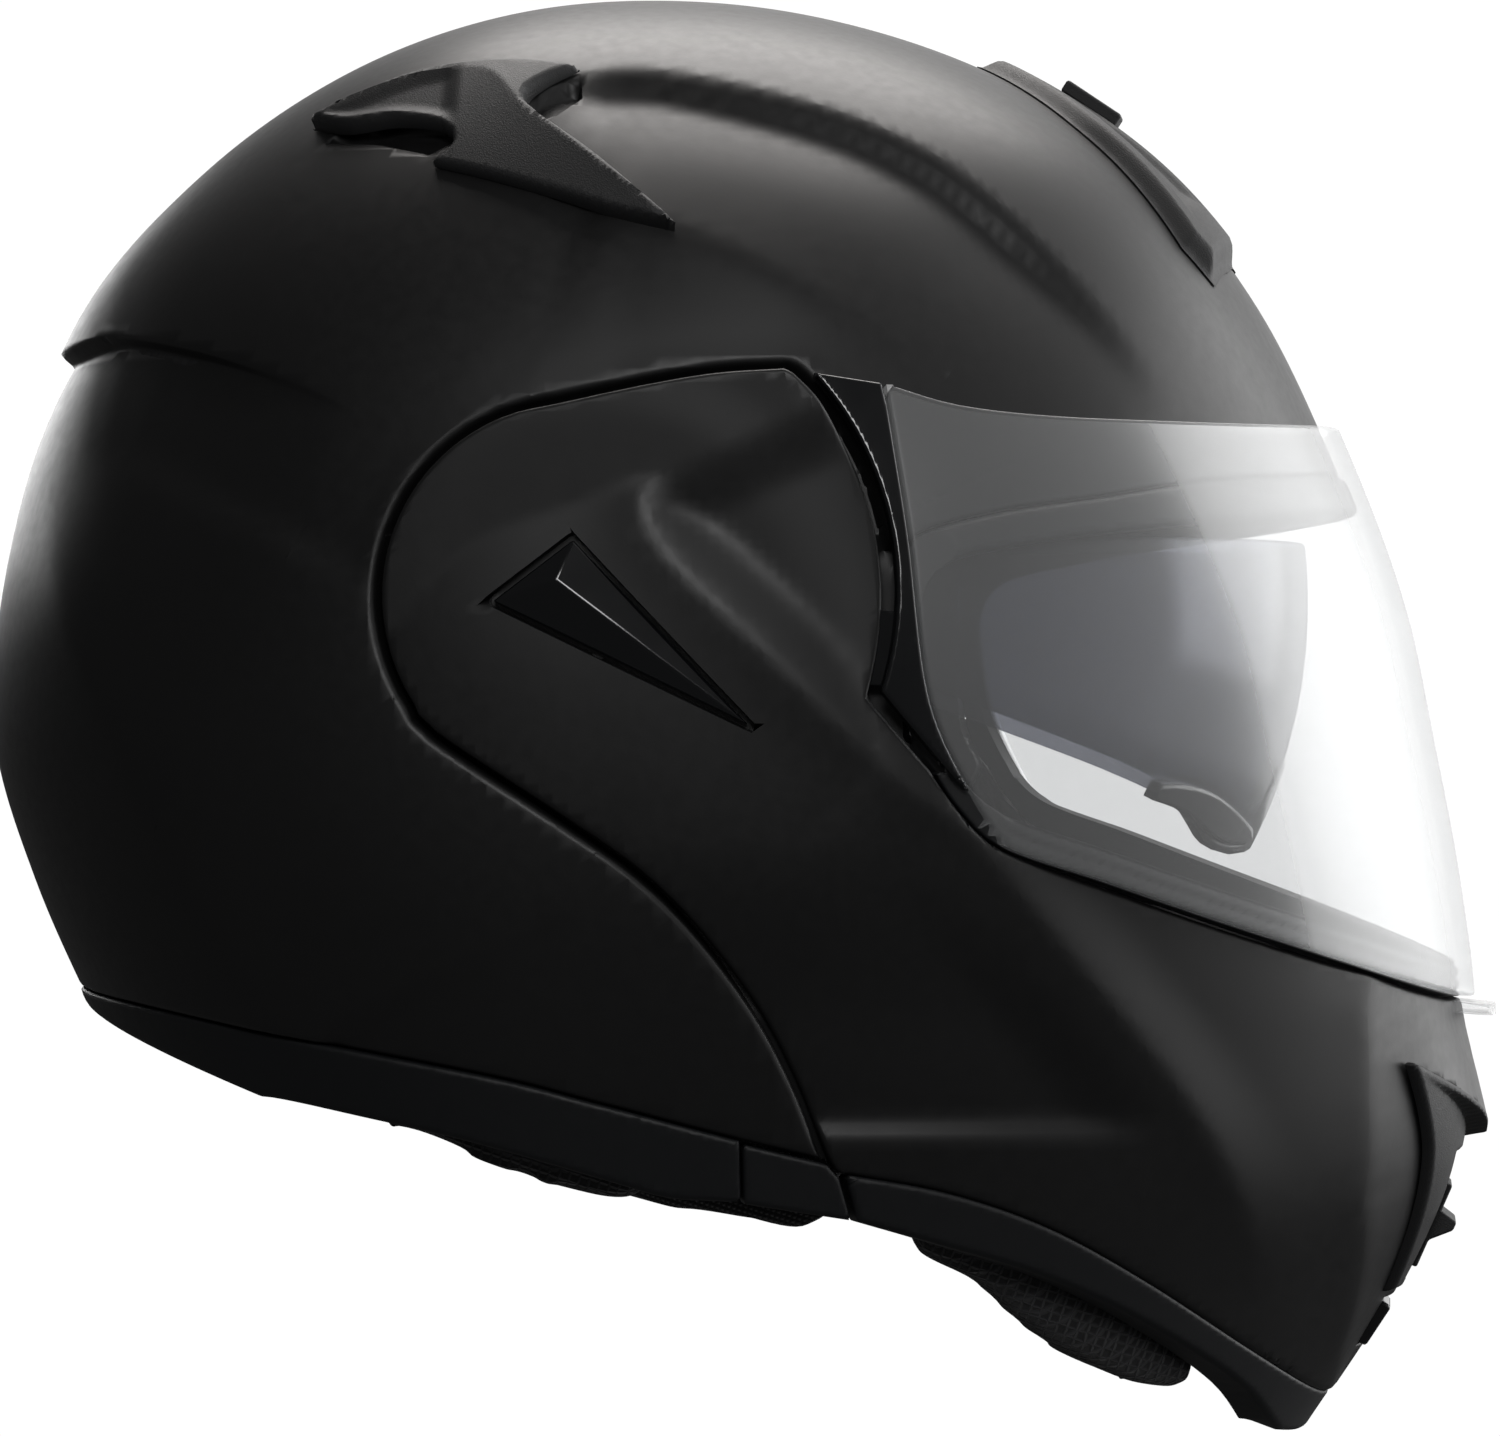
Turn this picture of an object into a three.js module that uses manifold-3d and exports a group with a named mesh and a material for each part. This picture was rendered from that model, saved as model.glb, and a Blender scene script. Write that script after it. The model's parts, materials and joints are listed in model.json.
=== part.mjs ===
// Flip-up motorcycle helmet: hinged chin bar, clear face shield and inner sun visor.
// Millimetres. Everything is drawn in the wearer's frame (+X forward, +Y to the left,
// +Z up, origin midway between the two chin-bar pivots). At the end the whole helmet is
// pitched back until it stands on its chin trim and on the rear of its base trim.

import * as THREE from 'three';
import { mergeVertices } from 'three/addons/utils/BufferGeometryUtils.js';
import Module from 'manifold-3d';

const wasm = await Module();
wasm.setup();

// ---------------------------------------------------------------- driving dimensions

const CROWN_HEIGHT = 132.3;        // top of the shell above the pivot axis
const MIDDLE_X = 4;                // widest station of the shell
const FRONT_POWER = 2.25;          // roundness of the plan outline ahead of the middle
const REAR_POWER = 2.35;           // and behind it
const AZIMUTH_STEPS = 24;
const STAND_PITCH = THREE.MathUtils.degToRad(19.3);
const REST_X = 144.6;              // foremost point of the resting plane
const REST_Z = -178.4;

const GAP = 0.35;                  // between pieces that touch on the real helmet
const SHELL_WALL = 3.5;
const LINER_TOP = 4.2;             // depth of the foam liner's outer face below the skin
const LINER_BOTTOM = 31;
const PAD_BOTTOM = 41;

const EAR_REAR_RADIUS = 39.5;      // chin-bar ear, about the pivot
const EAR_FRONT_RADIUS = 64;
const EAR_INNER_Y = 115.4;
const EAR_OUTER_Y = 118.2;
const ARM_INNER_Y = 113;           // face-shield arm plate
const ARM_OUTER_Y = 115;
const RECESS_GAP = 1.5;            // round the chin bar, seen from the side
const RECESS_DEPTH = 4.5;          // of the recess floor below the skin
const RECESS_BACK = 7.5;           // and of its back
const RECESS_Y = 109.5;            // flat in the shell beneath the ear
const RECESS_INNER_Y = 106.5;
const LINER_SIDE_Y = 106.1;
const SEAL_SIDE_Y = 110.6;         // brow seal, where the chin bar passes over it
const SWEEP_CLEAR_Y = 112.6;       // the shell is shaved to this where the arms sweep
const PIVOT_HOLE = 4.4;
const TRIM_FRONT = 33.5;           // where the base trim meets the latch cover
const STRAP_FRONT = 34;
const STRAP_WIDTH = 22;

const SUN_PIVOT = [34, 0];         // sun visor axis
const SUN_RADIUS = 114.5;
const SUN_HALF_WIDTH = 97;
const SUN_POWER = 2.2;
const SUN_WALL = 2;
const BARREL_STEPS = 7;

const SLIDER_SEAT = new THREE.Vector3(100.6, 0, 107.9);     // on the crown ahead of the middle
const SLIDER_TILT = Math.atan2(CROWN_HEIGHT * (Math.sin(Math.PI / 3) - Math.sin(Math.PI / 4)), 32);
const SHUTTER_SEAT = new THREE.Vector3(175.9, 0, -135.4);   // in the chin vent's window
const SHUTTER_TILT = Math.atan2(13.2, 30);                  // slope of the chin there
const BUTTON_SEAT = new THREE.Vector3(162.2, 0, -155.8);    // on the slope under the chin
const BUTTON_TILT = Math.atan2(-31.7, 20.8) + Math.PI / 2;

const FAR = 260;                   // a length that clears the whole helmet

// Stations of the outer skin: latitude in degrees, then front, rear and half width.
const STATIONS = [
  [90, MIDDLE_X, MIDDLE_X, 0],
  [75, 44, -31, 35],
  [60, 82, -64, 66],
  [45, 114, -93.5, 89],
  [30, 136.5, -118, 105],
  [15, 152.5, -131.5, 115.5],
  [0, 165.5, -137.5, 121],
  [-13, 172, -138.5, 122],
  [-26, 177.6, -129.5, 120],
  [-39, 181, -116, 114.5],
  [-52, 179, -101, 107],
  [-65, 165.8, -86, 99],
  [-79, 145, -70, 91],
];

// ---------------------------------------------------------------- outlines, seen from the side

const EYE_PORT_SILL = [[73, -35.6], [87, -52], [107, -59.2], [127.3, -66.6], [147.7, -73.8],
  [168.4, -81.3], [200, -93]];
const CHIN_TRIM_TOP = [[54.8, -119], [76, -123.2], [96.3, -130.8], [116.5, -143], [137, -158.4],
  [151.3, -170.2], [170, -186]];
const CHIN_TRIM_BOTTOM = [[57, -128.7], [74, -133.7], [94, -140.3], [114.4, -150.6],
  [134.7, -165.7], [147, -184], [170, -200]];
const REAR_SEAM = [[54, -119], [51.8, -115.7], [46, -100], [38.2, -84.6], [26.2, -68.2],
  [14, -56], [-2, -44.8]];
const BASE_TRIM_TOP = [[-150, -80.5], [-106.5, -84.5], [-69.5, -89.8], [-19.8, -98.3],
  [4.9, -104.3], [34.5, -112], [56, -117.2]];
const BASE_TRIM_BOTTOM = [[-150, -90], [-80, -104], [-66, -104], [-44, -107.8], [-24.5, -111.8],
  [-6.7, -116.5], [8, -120.8], [19, -123.8], [33, -124.7], [56.6, -128.7]];
const BROW_EDGE = [[68.5, -22], [67.5, -5], [67.8, 10.3], [70.7, 13.4], [86.8, 17.6],
  [106.8, 20.9], [127, 24.5], [153.5, 27.5], [190, 31.7]];
const BROW_SEAL_EDGE = [[71.5, -22], [70.9, -9], [70.5, -1], [76.2, 6.8], [94.9, 10.9],
  [108.5, 13.1], [147.4, 17.8], [190, 22.9]];
const SHIELD_TOP = [[62.2, 42.2], [76.6, 38.1], [94.7, 36.2], [116.8, 35.7], [137, 35.9],
  [154.4, 37.1], [200, 41.1]];
const SHIELD_REAR = [[64.5, 29.8], [67.8, 10.3], [72, -21.3], [80.5, -41]];
const SUN_OUTLINE = [[24, -8], [24, 8], [45, 12], [60, 13], [160, 13], [160, -30], [144, -36.6],
  [142.5, -40.5], [137.5, -51], [134.5, -54], [128, -53], [122, -44], [108, -36.4],
  [85, -27.3], [60, -18], [40, -9]];
const EXTRACTOR_OUTLINE = [[-61, 99.5], [-53, 103.5], [-36, 110], [-16.4, 111.8], [-3.5, 111],
  [-11, 106.3], [-14.4, 102.7], [3, 89.7], [21, 74.5], [-4.7, 82], [-32.5, 89.8],
  [-28.4, 96.9], [-41, 98.5], [-56.6, 96.5]];

// ---------------------------------------------------------------- solids and surfaces

/** A closed three.js geometry as a solid that can be joined and cut. */
function solid(geometry) {
  const bare = geometry.clone();
  bare.deleteAttribute('normal');
  bare.deleteAttribute('uv');
  const merged = mergeVertices(bare, 1e-4);
  return new wasm.Manifold(new wasm.Mesh({
    numProp: 3,
    vertProperties: new Float32Array(merged.attributes.position.array),
    triVerts: new Uint32Array(merged.index.array),
  }));
}

/** The solid's surface as a three.js geometry. */
function surface(body) {
  const mesh = body.getMesh();
  const geometry = new THREE.BufferGeometry();
  geometry.setAttribute('position', new THREE.BufferAttribute(mesh.vertProperties, 3));
  geometry.setIndex(new THREE.BufferAttribute(mesh.triVerts, 1));
  geometry.computeVertexNormals();
  return geometry;
}

const join = (first, ...others) => others.reduce((sum, other) => sum.add(other), first);
const cut = (first, ...others) => others.reduce((rest, other) => rest.subtract(other), first);

/** |t| to a power, keeping its sign. */
const signedPower = (t, power) => Math.sign(t) * Math.abs(t) ** power;

/** Height of a latitude: a sine above the pivot axis, straight down below it. */
function heightAt(latitude, crown) {
  const angle = THREE.MathUtils.degToRad(latitude);
  return latitude > 0 ? crown * Math.sin(angle) : CROWN_HEIGHT * angle;
}

const skins = new Map();

/** The helmet's outer skin, shrunk by depth: a sphere whose rings lie on the stations. */
function skin(depth) {
  if (skins.has(depth)) return skins.get(depth);
  const ball = new THREE.SphereGeometry(1, AZIMUTH_STEPS, STATIONS.length);
  const position = ball.attributes.position;
  for (let ring = 0; ring <= STATIONS.length; ring += 1) {
    const closing = ring === STATIONS.length;
    const [latitude, front, rear, half] = STATIONS[Math.min(ring, STATIONS.length - 1)];
    const shrink = depth * Math.cos(THREE.MathUtils.degToRad(Math.max(latitude, 0)));
    const z = heightAt(latitude, CROWN_HEIGHT - depth);
    for (let step = 0; step <= AZIMUTH_STEPS; step += 1) {
      const azimuth = (step % AZIMUTH_STEPS) / AZIMUTH_STEPS * 2 * Math.PI + Math.PI;
      const ahead = Math.cos(azimuth) >= 0;
      const reach = Math.max((ahead ? front - MIDDLE_X : MIDDLE_X - rear) - shrink, 0);
      const power = 2 / (ahead ? FRONT_POWER : REAR_POWER);
      const size = closing || ring === 0 ? 0 : 1;
      position.setXYZ(ring * (AZIMUTH_STEPS + 1) + step,
        MIDDLE_X + size * reach * signedPower(Math.cos(azimuth), power),
        size * Math.max(half - shrink, 0) * signedPower(Math.sin(azimuth), power),
        z);
    }
  }
  skins.set(depth, solid(ball));
  return skins.get(depth);
}

/** The wall between two depths below the skin. */
const layer = (outer, inner) => skin(outer).subtract(skin(inner));

/** An outline in the side view (x, z), made solid from y = low to y = high. */
function across(points, low = -FAR, high = FAR) {
  const shape = new THREE.Shape(points.map(([x, z]) => new THREE.Vector2(x, z)));
  const prism = new THREE.ExtrudeGeometry(shape, { depth: high - low, bevelEnabled: false });
  prism.rotateX(Math.PI / 2);
  prism.translate(0, high, 0);
  return solid(prism);
}

/** The same outline on one side only: side is +1 for the left, -1 for the right. */
function onSide(points, side, near, far = FAR) {
  return side > 0 ? across(points, near, far) : across(points, -far, -near);
}

/** The same outline on both sides. */
const onBothSides = (points, near, far = FAR) => join(onSide(points, 1, near, far),
  onSide(points, -1, near, far));

/** An outline in the front view (y, z), made solid from x = low to x = high. */
function along(points, low, high) {
  const shape = new THREE.Shape(points.map(([y, z]) => new THREE.Vector2(y, z)));
  const prism = new THREE.ExtrudeGeometry(shape, { depth: high - low, bevelEnabled: false });
  prism.applyMatrix4(new THREE.Matrix4().set(0, 0, 1, low, 1, 0, 0, 0, 0, 1, 0, 0, 0, 0, 0, 1));
  return solid(prism);
}

/** An outline in the plan view (x, y), made solid from z = low to z = high. */
function upward(points, low, high) {
  const shape = new THREE.Shape(points.map(([x, y]) => new THREE.Vector2(x, y)));
  const prism = new THREE.ExtrudeGeometry(shape, { depth: high - low, bevelEnabled: false });
  prism.translate(0, 0, low);
  return solid(prism);
}

/** A rod along Y about (x, z), on one side. */
function rod([x, z], radius, side, near, far, steps = 20) {
  const cylinder = new THREE.CylinderGeometry(radius, radius, far - near, steps);
  cylinder.translate(x, side * (near + far) / 2, z);
  return solid(cylinder);
}

/** Points of an arc about (0, 0), angles in degrees. */
function arc(radius, from, to, steps) {
  return Array.from({ length: steps + 1 }, (_, i) => {
    const angle = THREE.MathUtils.degToRad(from + (to - from) * i / steps);
    return [radius * Math.cos(angle), radius * Math.sin(angle)];
  });
}

/** An outline pushed outwards by a distance (negative pulls it in). */
function grown(points, distance) {
  const turn = Math.sign(THREE.ShapeUtils.area(points.map(([x, y]) => ({ x, y }))));
  return points.map((point, i) => {
    const before = points.at(i - 1);
    const after = points[(i + 1) % points.length];
    const normals = [[before, point], [point, after]].map(([a, b]) => {
      const length = Math.hypot(b[0] - a[0], b[1] - a[1]);
      return [turn * (b[1] - a[1]) / length, -turn * (b[0] - a[0]) / length];
    });
    const [p, q] = normals;
    const scale = distance / (1 + p[0] * q[0] + p[1] * q[1]);
    return [point[0] + scale * (p[0] + q[0]), point[1] + scale * (p[1] + q[1])];
  });
}

const lifted = (points, dz) => points.map(([x, z]) => [x, z + dz]);
const band = (upper, lower) => [...upper, ...lower.toReversed()];
/** Everything between y = -halfWidth and y = halfWidth. */
const slice = (halfWidth) => across([[-FAR, -FAR], [FAR, -FAR], [FAR, FAR], [-FAR, FAR]],
  -halfWidth, halfWidth);

// ---------------------------------------------------------------- shared regions

const earOutline = [
  ...arc(EAR_REAR_RADIUS, 225, 96, 10),
  [15.7, 43.4],
  ...arc(EAR_FRONT_RADIUS, 46, -19, 6),
];
const chinBarOutline = [
  ...earOutline,
  ...EYE_PORT_SILL,
  [200, -212],
  ...lifted(CHIN_TRIM_TOP, GAP).toReversed(),
  ...REAR_SEAM.slice(1),
];
const recessOutline = grown(chinBarOutline, RECESS_GAP);
const frontOfEar = [[40, -34], [40, 10], [69, 10], [69, -34]];
const recessWall = grown(chinBarOutline, RECESS_GAP + SHELL_WALL);

const restSlope = Math.tan(STAND_PITCH);
const restingFloor = across([[-FAR, REST_Z + (REST_X + FAR) * restSlope],
  [FAR, REST_Z - (FAR - REST_X) * restSlope], [FAR, -2 * FAR], [-FAR, -2 * FAR]]);

/** Everything that the liner parts fill: the skin less the flats behind the ears. */
function insideShell(depth) {
  const flats = onBothSides(recessWall, LINER_SIDE_Y).add(onBothSides(frontOfEar, LINER_SIDE_Y));
  return cut(skin(depth), flats, across(recessWall).subtract(skin(depth + RECESS_DEPTH)));
}

/** The surface that the sun visor slides in: a barrel about the sun visor's axis. */
function sunBarrel(extra) {
  const profile = [];
  for (let i = -BARREL_STEPS; i <= BARREL_STEPS; i += 1) {
    const t = Math.sin(i / BARREL_STEPS * Math.PI / 2);
    const radius = (SUN_RADIUS + extra) * (1 - Math.abs(t) ** SUN_POWER) ** (1 / SUN_POWER);
    profile.push(new THREE.Vector2(Math.max(radius, 0), t * (SUN_HALF_WIDTH + extra)));
  }
  const barrel = new THREE.LatheGeometry(profile, 5 * BARREL_STEPS);
  barrel.translate(SUN_PIVOT[0], 0, SUN_PIVOT[1]);
  return solid(barrel);
}

// ---------------------------------------------------------------- materials

const finishes = {
  shell: { color: 0x1b1b1c, roughness: 0.55, metalness: 0.0 },
  trim: { color: 0x15171a, roughness: 0.7, metalness: 0.0 },
  vent: { color: 0x222224, roughness: 0.8, metalness: 0.0 },
  gloss: { color: 0x0d0e10, roughness: 0.2, metalness: 0.0 },
  lens: { color: 0xdfe5e8, roughness: 0.05, metalness: 0.0 },
  smoke: { color: 0x2a2c30, roughness: 0.08, metalness: 0.0 },
  foam: { color: 0x1e1e20, roughness: 0.95, metalness: 0.0 },
  fabric: { color: 0x18181a, roughness: 0.95, metalness: 0.0 },
  webbing: { color: 0x101012, roughness: 0.9, metalness: 0.0 },
  steel: { color: 0x8d9094, roughness: 0.35, metalness: 1.0 },
};

const wearer = new THREE.Group();

/** Adds one piece to the helmet. */
function add(name, finish, body) {
  const mesh = new THREE.Mesh(surface(body), new THREE.MeshStandardMaterial(finishes[finish]));
  mesh.name = name;
  wearer.add(mesh);
  return mesh;
}

// ---------------------------------------------------------------- shell and its trims

const eyePort = [...BROW_EDGE, [FAR, 40], [FAR, -FAR], [58.5, -FAR], [58.5, -117], [62, -60]];
const belowShell = [...lifted(BASE_TRIM_TOP, GAP), [58.5, -117], [58.5, -FAR], [-150, -FAR]];

function outerShell() {
  const recess = across(recessOutline).add(across(frontOfEar));
  const plain = layer(0, SHELL_WALL).subtract(recess);
  const floor = skin(RECESS_DEPTH).intersect(slice(RECESS_Y))
    .subtract(skin(RECESS_BACK).intersect(slice(RECESS_INNER_Y)));
  const floorArea = across(recessWall).add(across(frontOfEar));
  const wall = cut(layer(0, RECESS_BACK), recess).intersect(across(recessWall))
    .intersect(onBothSides(recessWall, 60));
  const sweep = onBothSides([[-26, 33], [64, 33], [64, 62], [-26, 62]], SWEEP_CLEAR_Y);
  return cut(join(plain, floor.intersect(floorArea), wall),
    across(eyePort), across(belowShell), sweep);
}
add('outer_shell', 'shell', outerShell());

const trimSplit = [[-FAR, -FAR], [TRIM_FRONT, -FAR], [TRIM_FRONT, 0], [-FAR, 0]];
add('base_trim', 'trim', layer(-0.8, 7).intersect(across(band(BASE_TRIM_TOP, BASE_TRIM_BOTTOM)))
  .intersect(across(trimSplit)).subtract(restingFloor));
add('brow_seal', 'trim', layer(-1, 5).intersect(across(band(
  BROW_EDGE.map(([x, z], i) => (i < 3 ? [x + GAP, z] : [x, z - GAP])), BROW_SEAL_EDGE)))
  .subtract(onBothSides([[60, -30], [60, 22], [78, 22], [78, -30]], SEAL_SIDE_Y)));

for (const [tag, side] of [['left', 1], ['right', -1]]) {
  const block = [[TRIM_FRONT + GAP, -112.4], [51, -116.6], [53.6, -119.6], [55.9, -128.4],
    [TRIM_FRONT + GAP, -124.9]];
  add(`latch_cover_${tag}`, 'trim', layer(-0.8, 9).intersect(onSide(block, side, 20)));
}

// ---------------------------------------------------------------- liner, pads and straps

const crownArea = [[-150, -66], [-52, -74], [-30, -24], [60, -24], [66, 10], [72, 19],
  [190, 36], [190, 150], [-150, 150]];
const padArea = grown(crownArea, -2.5);
const sunPocket = [[20, -26], [20, 12], [124, 110], [220, 110], [220, -60], [60, -60]];

add('impact_liner', 'foam', cut(insideShell(LINER_TOP), skin(LINER_BOTTOM))
  .intersect(across(crownArea))
  .subtract(across(sunPocket).subtract(sunBarrel(-SUN_WALL - 2.5))));
add('crown_pad', 'fabric', layer(LINER_BOTTOM + GAP, PAD_BOTTOM).intersect(across(padArea)));
add('neck_roll', 'fabric', layer(8, 24).intersect(across([[-150, -69], [-54, -77], [-30, -82],
  [-29, -97], [12, -107], [14, -125.5], [4.5, -125], [-20, -118.5], [-44, -111.2], [-66, -103.5],
  [-95, -93], [-150, -76]])));

for (const [tag, side] of [['left', 1], ['right', -1]]) {
  const core = [[-27, -26], [57, -26], [57, -101], [45, -101], [45, -112], [33, -110],
    [-27, -95]];
  add(`cheek_core_${tag}`, 'foam', cut(insideShell(LINER_TOP), skin(LINER_BOTTOM - 1))
    .intersect(onSide(core, side, 20)));
  const pad = [[-26, -30], [50, -30], [62, -45], [70, -100], [64, -132], [33, -132],
    [4, -126.5], [-26, -116.5]];
  add(`cheek_pad_${tag}`, 'fabric', layer(LINER_BOTTOM - 1 + GAP, 47)
    .intersect(onSide(pad, side, 20)));
}

/** A ribbon of even thickness along a line of points. */
function ribbon(points, thickness) {
  const curve = new THREE.SplineCurve(points.map(([a, b]) => new THREE.Vector2(a, b)));
  const steps = 8;
  const edge = (sign) => Array.from({ length: steps + 1 }, (_, i) => {
    const at = curve.getPoint(i / steps);
    const way = curve.getTangent(i / steps);
    return [at.x - sign * way.y * thickness / 2, at.y + sign * way.x * thickness / 2];
  });
  return [...edge(1), ...edge(-1).toReversed()];
}

for (const [tag, side] of [['left', 1], ['right', -1]]) {
  const line = [[69, -56], [67, -78], [57, -98], [40, -112], [17, -119.5]];
  const strap = along(ribbon(line.map(([y, z]) => [side * y, z]), 2),
    STRAP_FRONT - STRAP_WIDTH, STRAP_FRONT);
  add(`chin_strap_${tag}`, 'webbing', strap);
  const anchor = [[-4, -53], [10, -53], [STRAP_FRONT, -50], [STRAP_FRONT, -44], [-4, -44]];
  add(`strap_anchor_${tag}`, 'steel', onSide(anchor, side, 68, 70.5));
}

// Ratchet buckle: a channel on the right strap, a toothed tongue on the left one.
const buckleBed = along([[-16, -124.5], [16, -124.5], [16, -122.8], [-16, -122.8]],
  STRAP_FRONT - STRAP_WIDTH - 2, STRAP_FRONT + 2);
const buckleCheek = (x) => along([[-16, -123], [16, -123], [4, -113], [-12, -113]], x, x + 1.6);
add('buckle_channel', 'steel', join(buckleBed, buckleCheek(STRAP_FRONT - STRAP_WIDTH - 2),
  buckleCheek(STRAP_FRONT + 0.4)));
const teeth = Array.from({ length: 6 }, (_, i) => [[14 - 3 * i, -119.6], [12 - 3 * i, -121.2]])
  .flat();
add('ratchet_tongue', 'gloss', along([[15, -119.6], ...teeth, [-4, -121.2], [-4, -122.2],
  [15, -122.2]], STRAP_FRONT - STRAP_WIDTH + 3, STRAP_FRONT - 3));
add('buckle_lever', 'steel', along([[-11, -119], [-7, -119], [15, -116.4], [15, -114.4],
  [-7, -115.2], [-11, -115.6]], STRAP_FRONT - STRAP_WIDTH + 0.2, STRAP_FRONT - 0.2));

// ---------------------------------------------------------------- pivots and latch strikers

const CENTRE = [0, 0];
for (const [tag, side] of [['left', 1], ['right', -1]]) {
  add(`pivot_plate_${tag}`, 'gloss', rod(CENTRE, 22, side, RECESS_Y + GAP, ARM_INNER_Y - 0.5)
    .subtract(rod(CENTRE, PIVOT_HOLE, side, 100, 120)));
  add(`pivot_bolt_${tag}`, 'steel', rod(CENTRE, PIVOT_HOLE - 0.4, side, RECESS_Y + GAP, 117.6)
    .add(rod(CENTRE, 7.5, side, 117.5, 119.1)));
  add(`sun_visor_stud_${tag}`, 'steel', rod(SUN_PIVOT, 3, side, 92.9, 105.4, 16));
  add(`latch_striker_${tag}`, 'steel', onSide([[47, -111.5], [66, -113], [66, -106], [47, -103]],
    side, 93.5, 95.5).add(rod([62.5, -109.5], 2.4, side, 86, 94, 12)));
}

// ---------------------------------------------------------------- vents in the shell

for (const [tag, side] of [['left', 1], ['right', -1]]) {
  add(`extractor_vent_${tag}`, 'vent', layer(-3.6, -GAP)
    .intersect(onSide(EXTRACTOR_OUTLINE, side, 30)));
}
const brow = [[76, -7], [97, -29], [107, -35], [122, -43], [129, -41], [133, 0]];
const browOutline = [...brow, ...brow.slice(0, -1).toReversed().map(([x, y]) => [x, -y])];
add('brow_vent', 'vent', layer(-4, -GAP).intersect(upward(browOutline, 55, 140)));

const slider = new THREE.Mesh(new THREE.ExtrudeGeometry(new THREE.Shape([
  new THREE.Vector2(-7, -9), new THREE.Vector2(7, -6), new THREE.Vector2(7, 6),
  new THREE.Vector2(-7, 9)]), { depth: 3, bevelEnabled: false }),
new THREE.MeshStandardMaterial(finishes.vent));
slider.name = 'brow_vent_slider';
slider.position.copy(SLIDER_SEAT);
slider.rotation.y = SLIDER_TILT;
wearer.add(slider);

// ---------------------------------------------------------------- sun visor

const studHoles = join(...[1, -1].map((side) => rod(SUN_PIVOT, 3.4, side, 80, 120, 16)));
add('sun_visor', 'smoke', sunBarrel(0).subtract(sunBarrel(-SUN_WALL))
  .intersect(across(SUN_OUTLINE)).subtract(studHoles));
add('sun_visor_lever', 'gloss', onSide([[2, -121.4], [16, -123.6], [16, -128], [5, -127]], 1,
  99, 107));

// ---------------------------------------------------------------- chin bar

const insertOutline = [[-16.8, -1], [0.1, 11.8], [37, -27]];
const buttonFrame = new THREE.Matrix4().makeRotationY(BUTTON_TILT).setPosition(BUTTON_SEAT);

/** A block set square to the lower chin, where the release button sits. */
function chinBlock(depthIn, depthOut, width, height) {
  const box = new THREE.BoxGeometry(depthOut + depthIn, width, height);
  box.translate((depthOut - depthIn) / 2, 0, 0);
  box.applyMatrix4(buttonFrame);
  return solid(box);
}

function chinBarShell() {
  const ear = skin(0).add(across(earOutline, -EAR_OUTER_Y, EAR_OUTER_Y))
    .intersect(across(earOutline))
    .subtract(across(grown(earOutline, 1), -EAR_INNER_Y, EAR_INNER_Y));
  const arms = layer(0, SHELL_WALL).intersect(across(chinBarOutline));
  const insideEar = across(grown(earOutline, 1), -EAR_INNER_Y, EAR_INNER_Y);
  const pockets = [1, -1].flatMap((side) => [
    onSide(grown(insertOutline, 0.8), side, 119.4),
    rod(CENTRE, PIVOT_HOLE, side, 100, 130),
    rod(CENTRE, 8, side, 117.2, 130, 24),
  ]);
  return cut(arms.subtract(insideEar).add(ear), ...pockets, chinBlock(9, 8, 25, 11.4));
}
add('chin_bar_shell', 'shell', chinBarShell());

const linerArea = band([[88, -82], [115, -68], [127.3, -71], [147.7, -78.5], [168.4, -86],
  [200, -98]], [[78, -119.5], [96.3, -126.5], [116.5, -138.6], [137, -154], [151.3, -166],
  [170, -182]]);
add('chin_bar_liner', 'foam', layer(SHELL_WALL + GAP, 17).intersect(across(linerArea))
  .subtract(chinBlock(10, 0, 26, 12.4)));
add('chin_trim', 'trim', layer(-0.8, 8).intersect(across(band(CHIN_TRIM_TOP, CHIN_TRIM_BOTTOM)))
  .subtract(restingFloor));
add('chin_port_seal', 'trim', layer(-0.8, 3.4).intersect(across(band(
  [[80, -37], ...lifted(EYE_PORT_SILL.slice(1), 8)],
  lifted([[74, -35.8], ...EYE_PORT_SILL.slice(1)], GAP + 0.1)))));
const curtainArea = band([[72, -122], [96.3, -133], [116.5, -146], [133, -158.5]],
  [[72, -136.5], [88, -143.5], [95, -150], [107, -158.5], [121.5, -165.5], [133, -171]]);
add('chin_curtain', 'fabric', layer(8 + GAP, 22).intersect(across(curtainArea))
  .subtract(restingFloor));

for (const [tag, side] of [['left', 1], ['right', -1]]) {
  add(`pivot_insert_${tag}`, 'gloss', onSide(insertOutline, side, 119.7, 123.4));
}

// Chin vent: a hooded frame around a shutter that slides up the chin.
const frameHalf = [[48, -98], [36, -117], [30, -130], [21, -148.5]];
const frameOutline = [...frameHalf, ...frameHalf.toReversed().map(([y, z]) => [-y, z])];
const shutterWindow = [[-17, -119], [17, -119], [13.5, -146.5], [-13.5, -146.5]];
const hood = across([[174, -99], [185.7, -110.5], [185.7, -113], [174, -116]], -30, 30);
add('chin_vent_frame', 'vent', cut(layer(-3, -GAP).intersect(along(frameOutline, 120, 200))
  .add(hood.subtract(skin(-GAP))), along(shutterWindow, 120, 184)));

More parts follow.
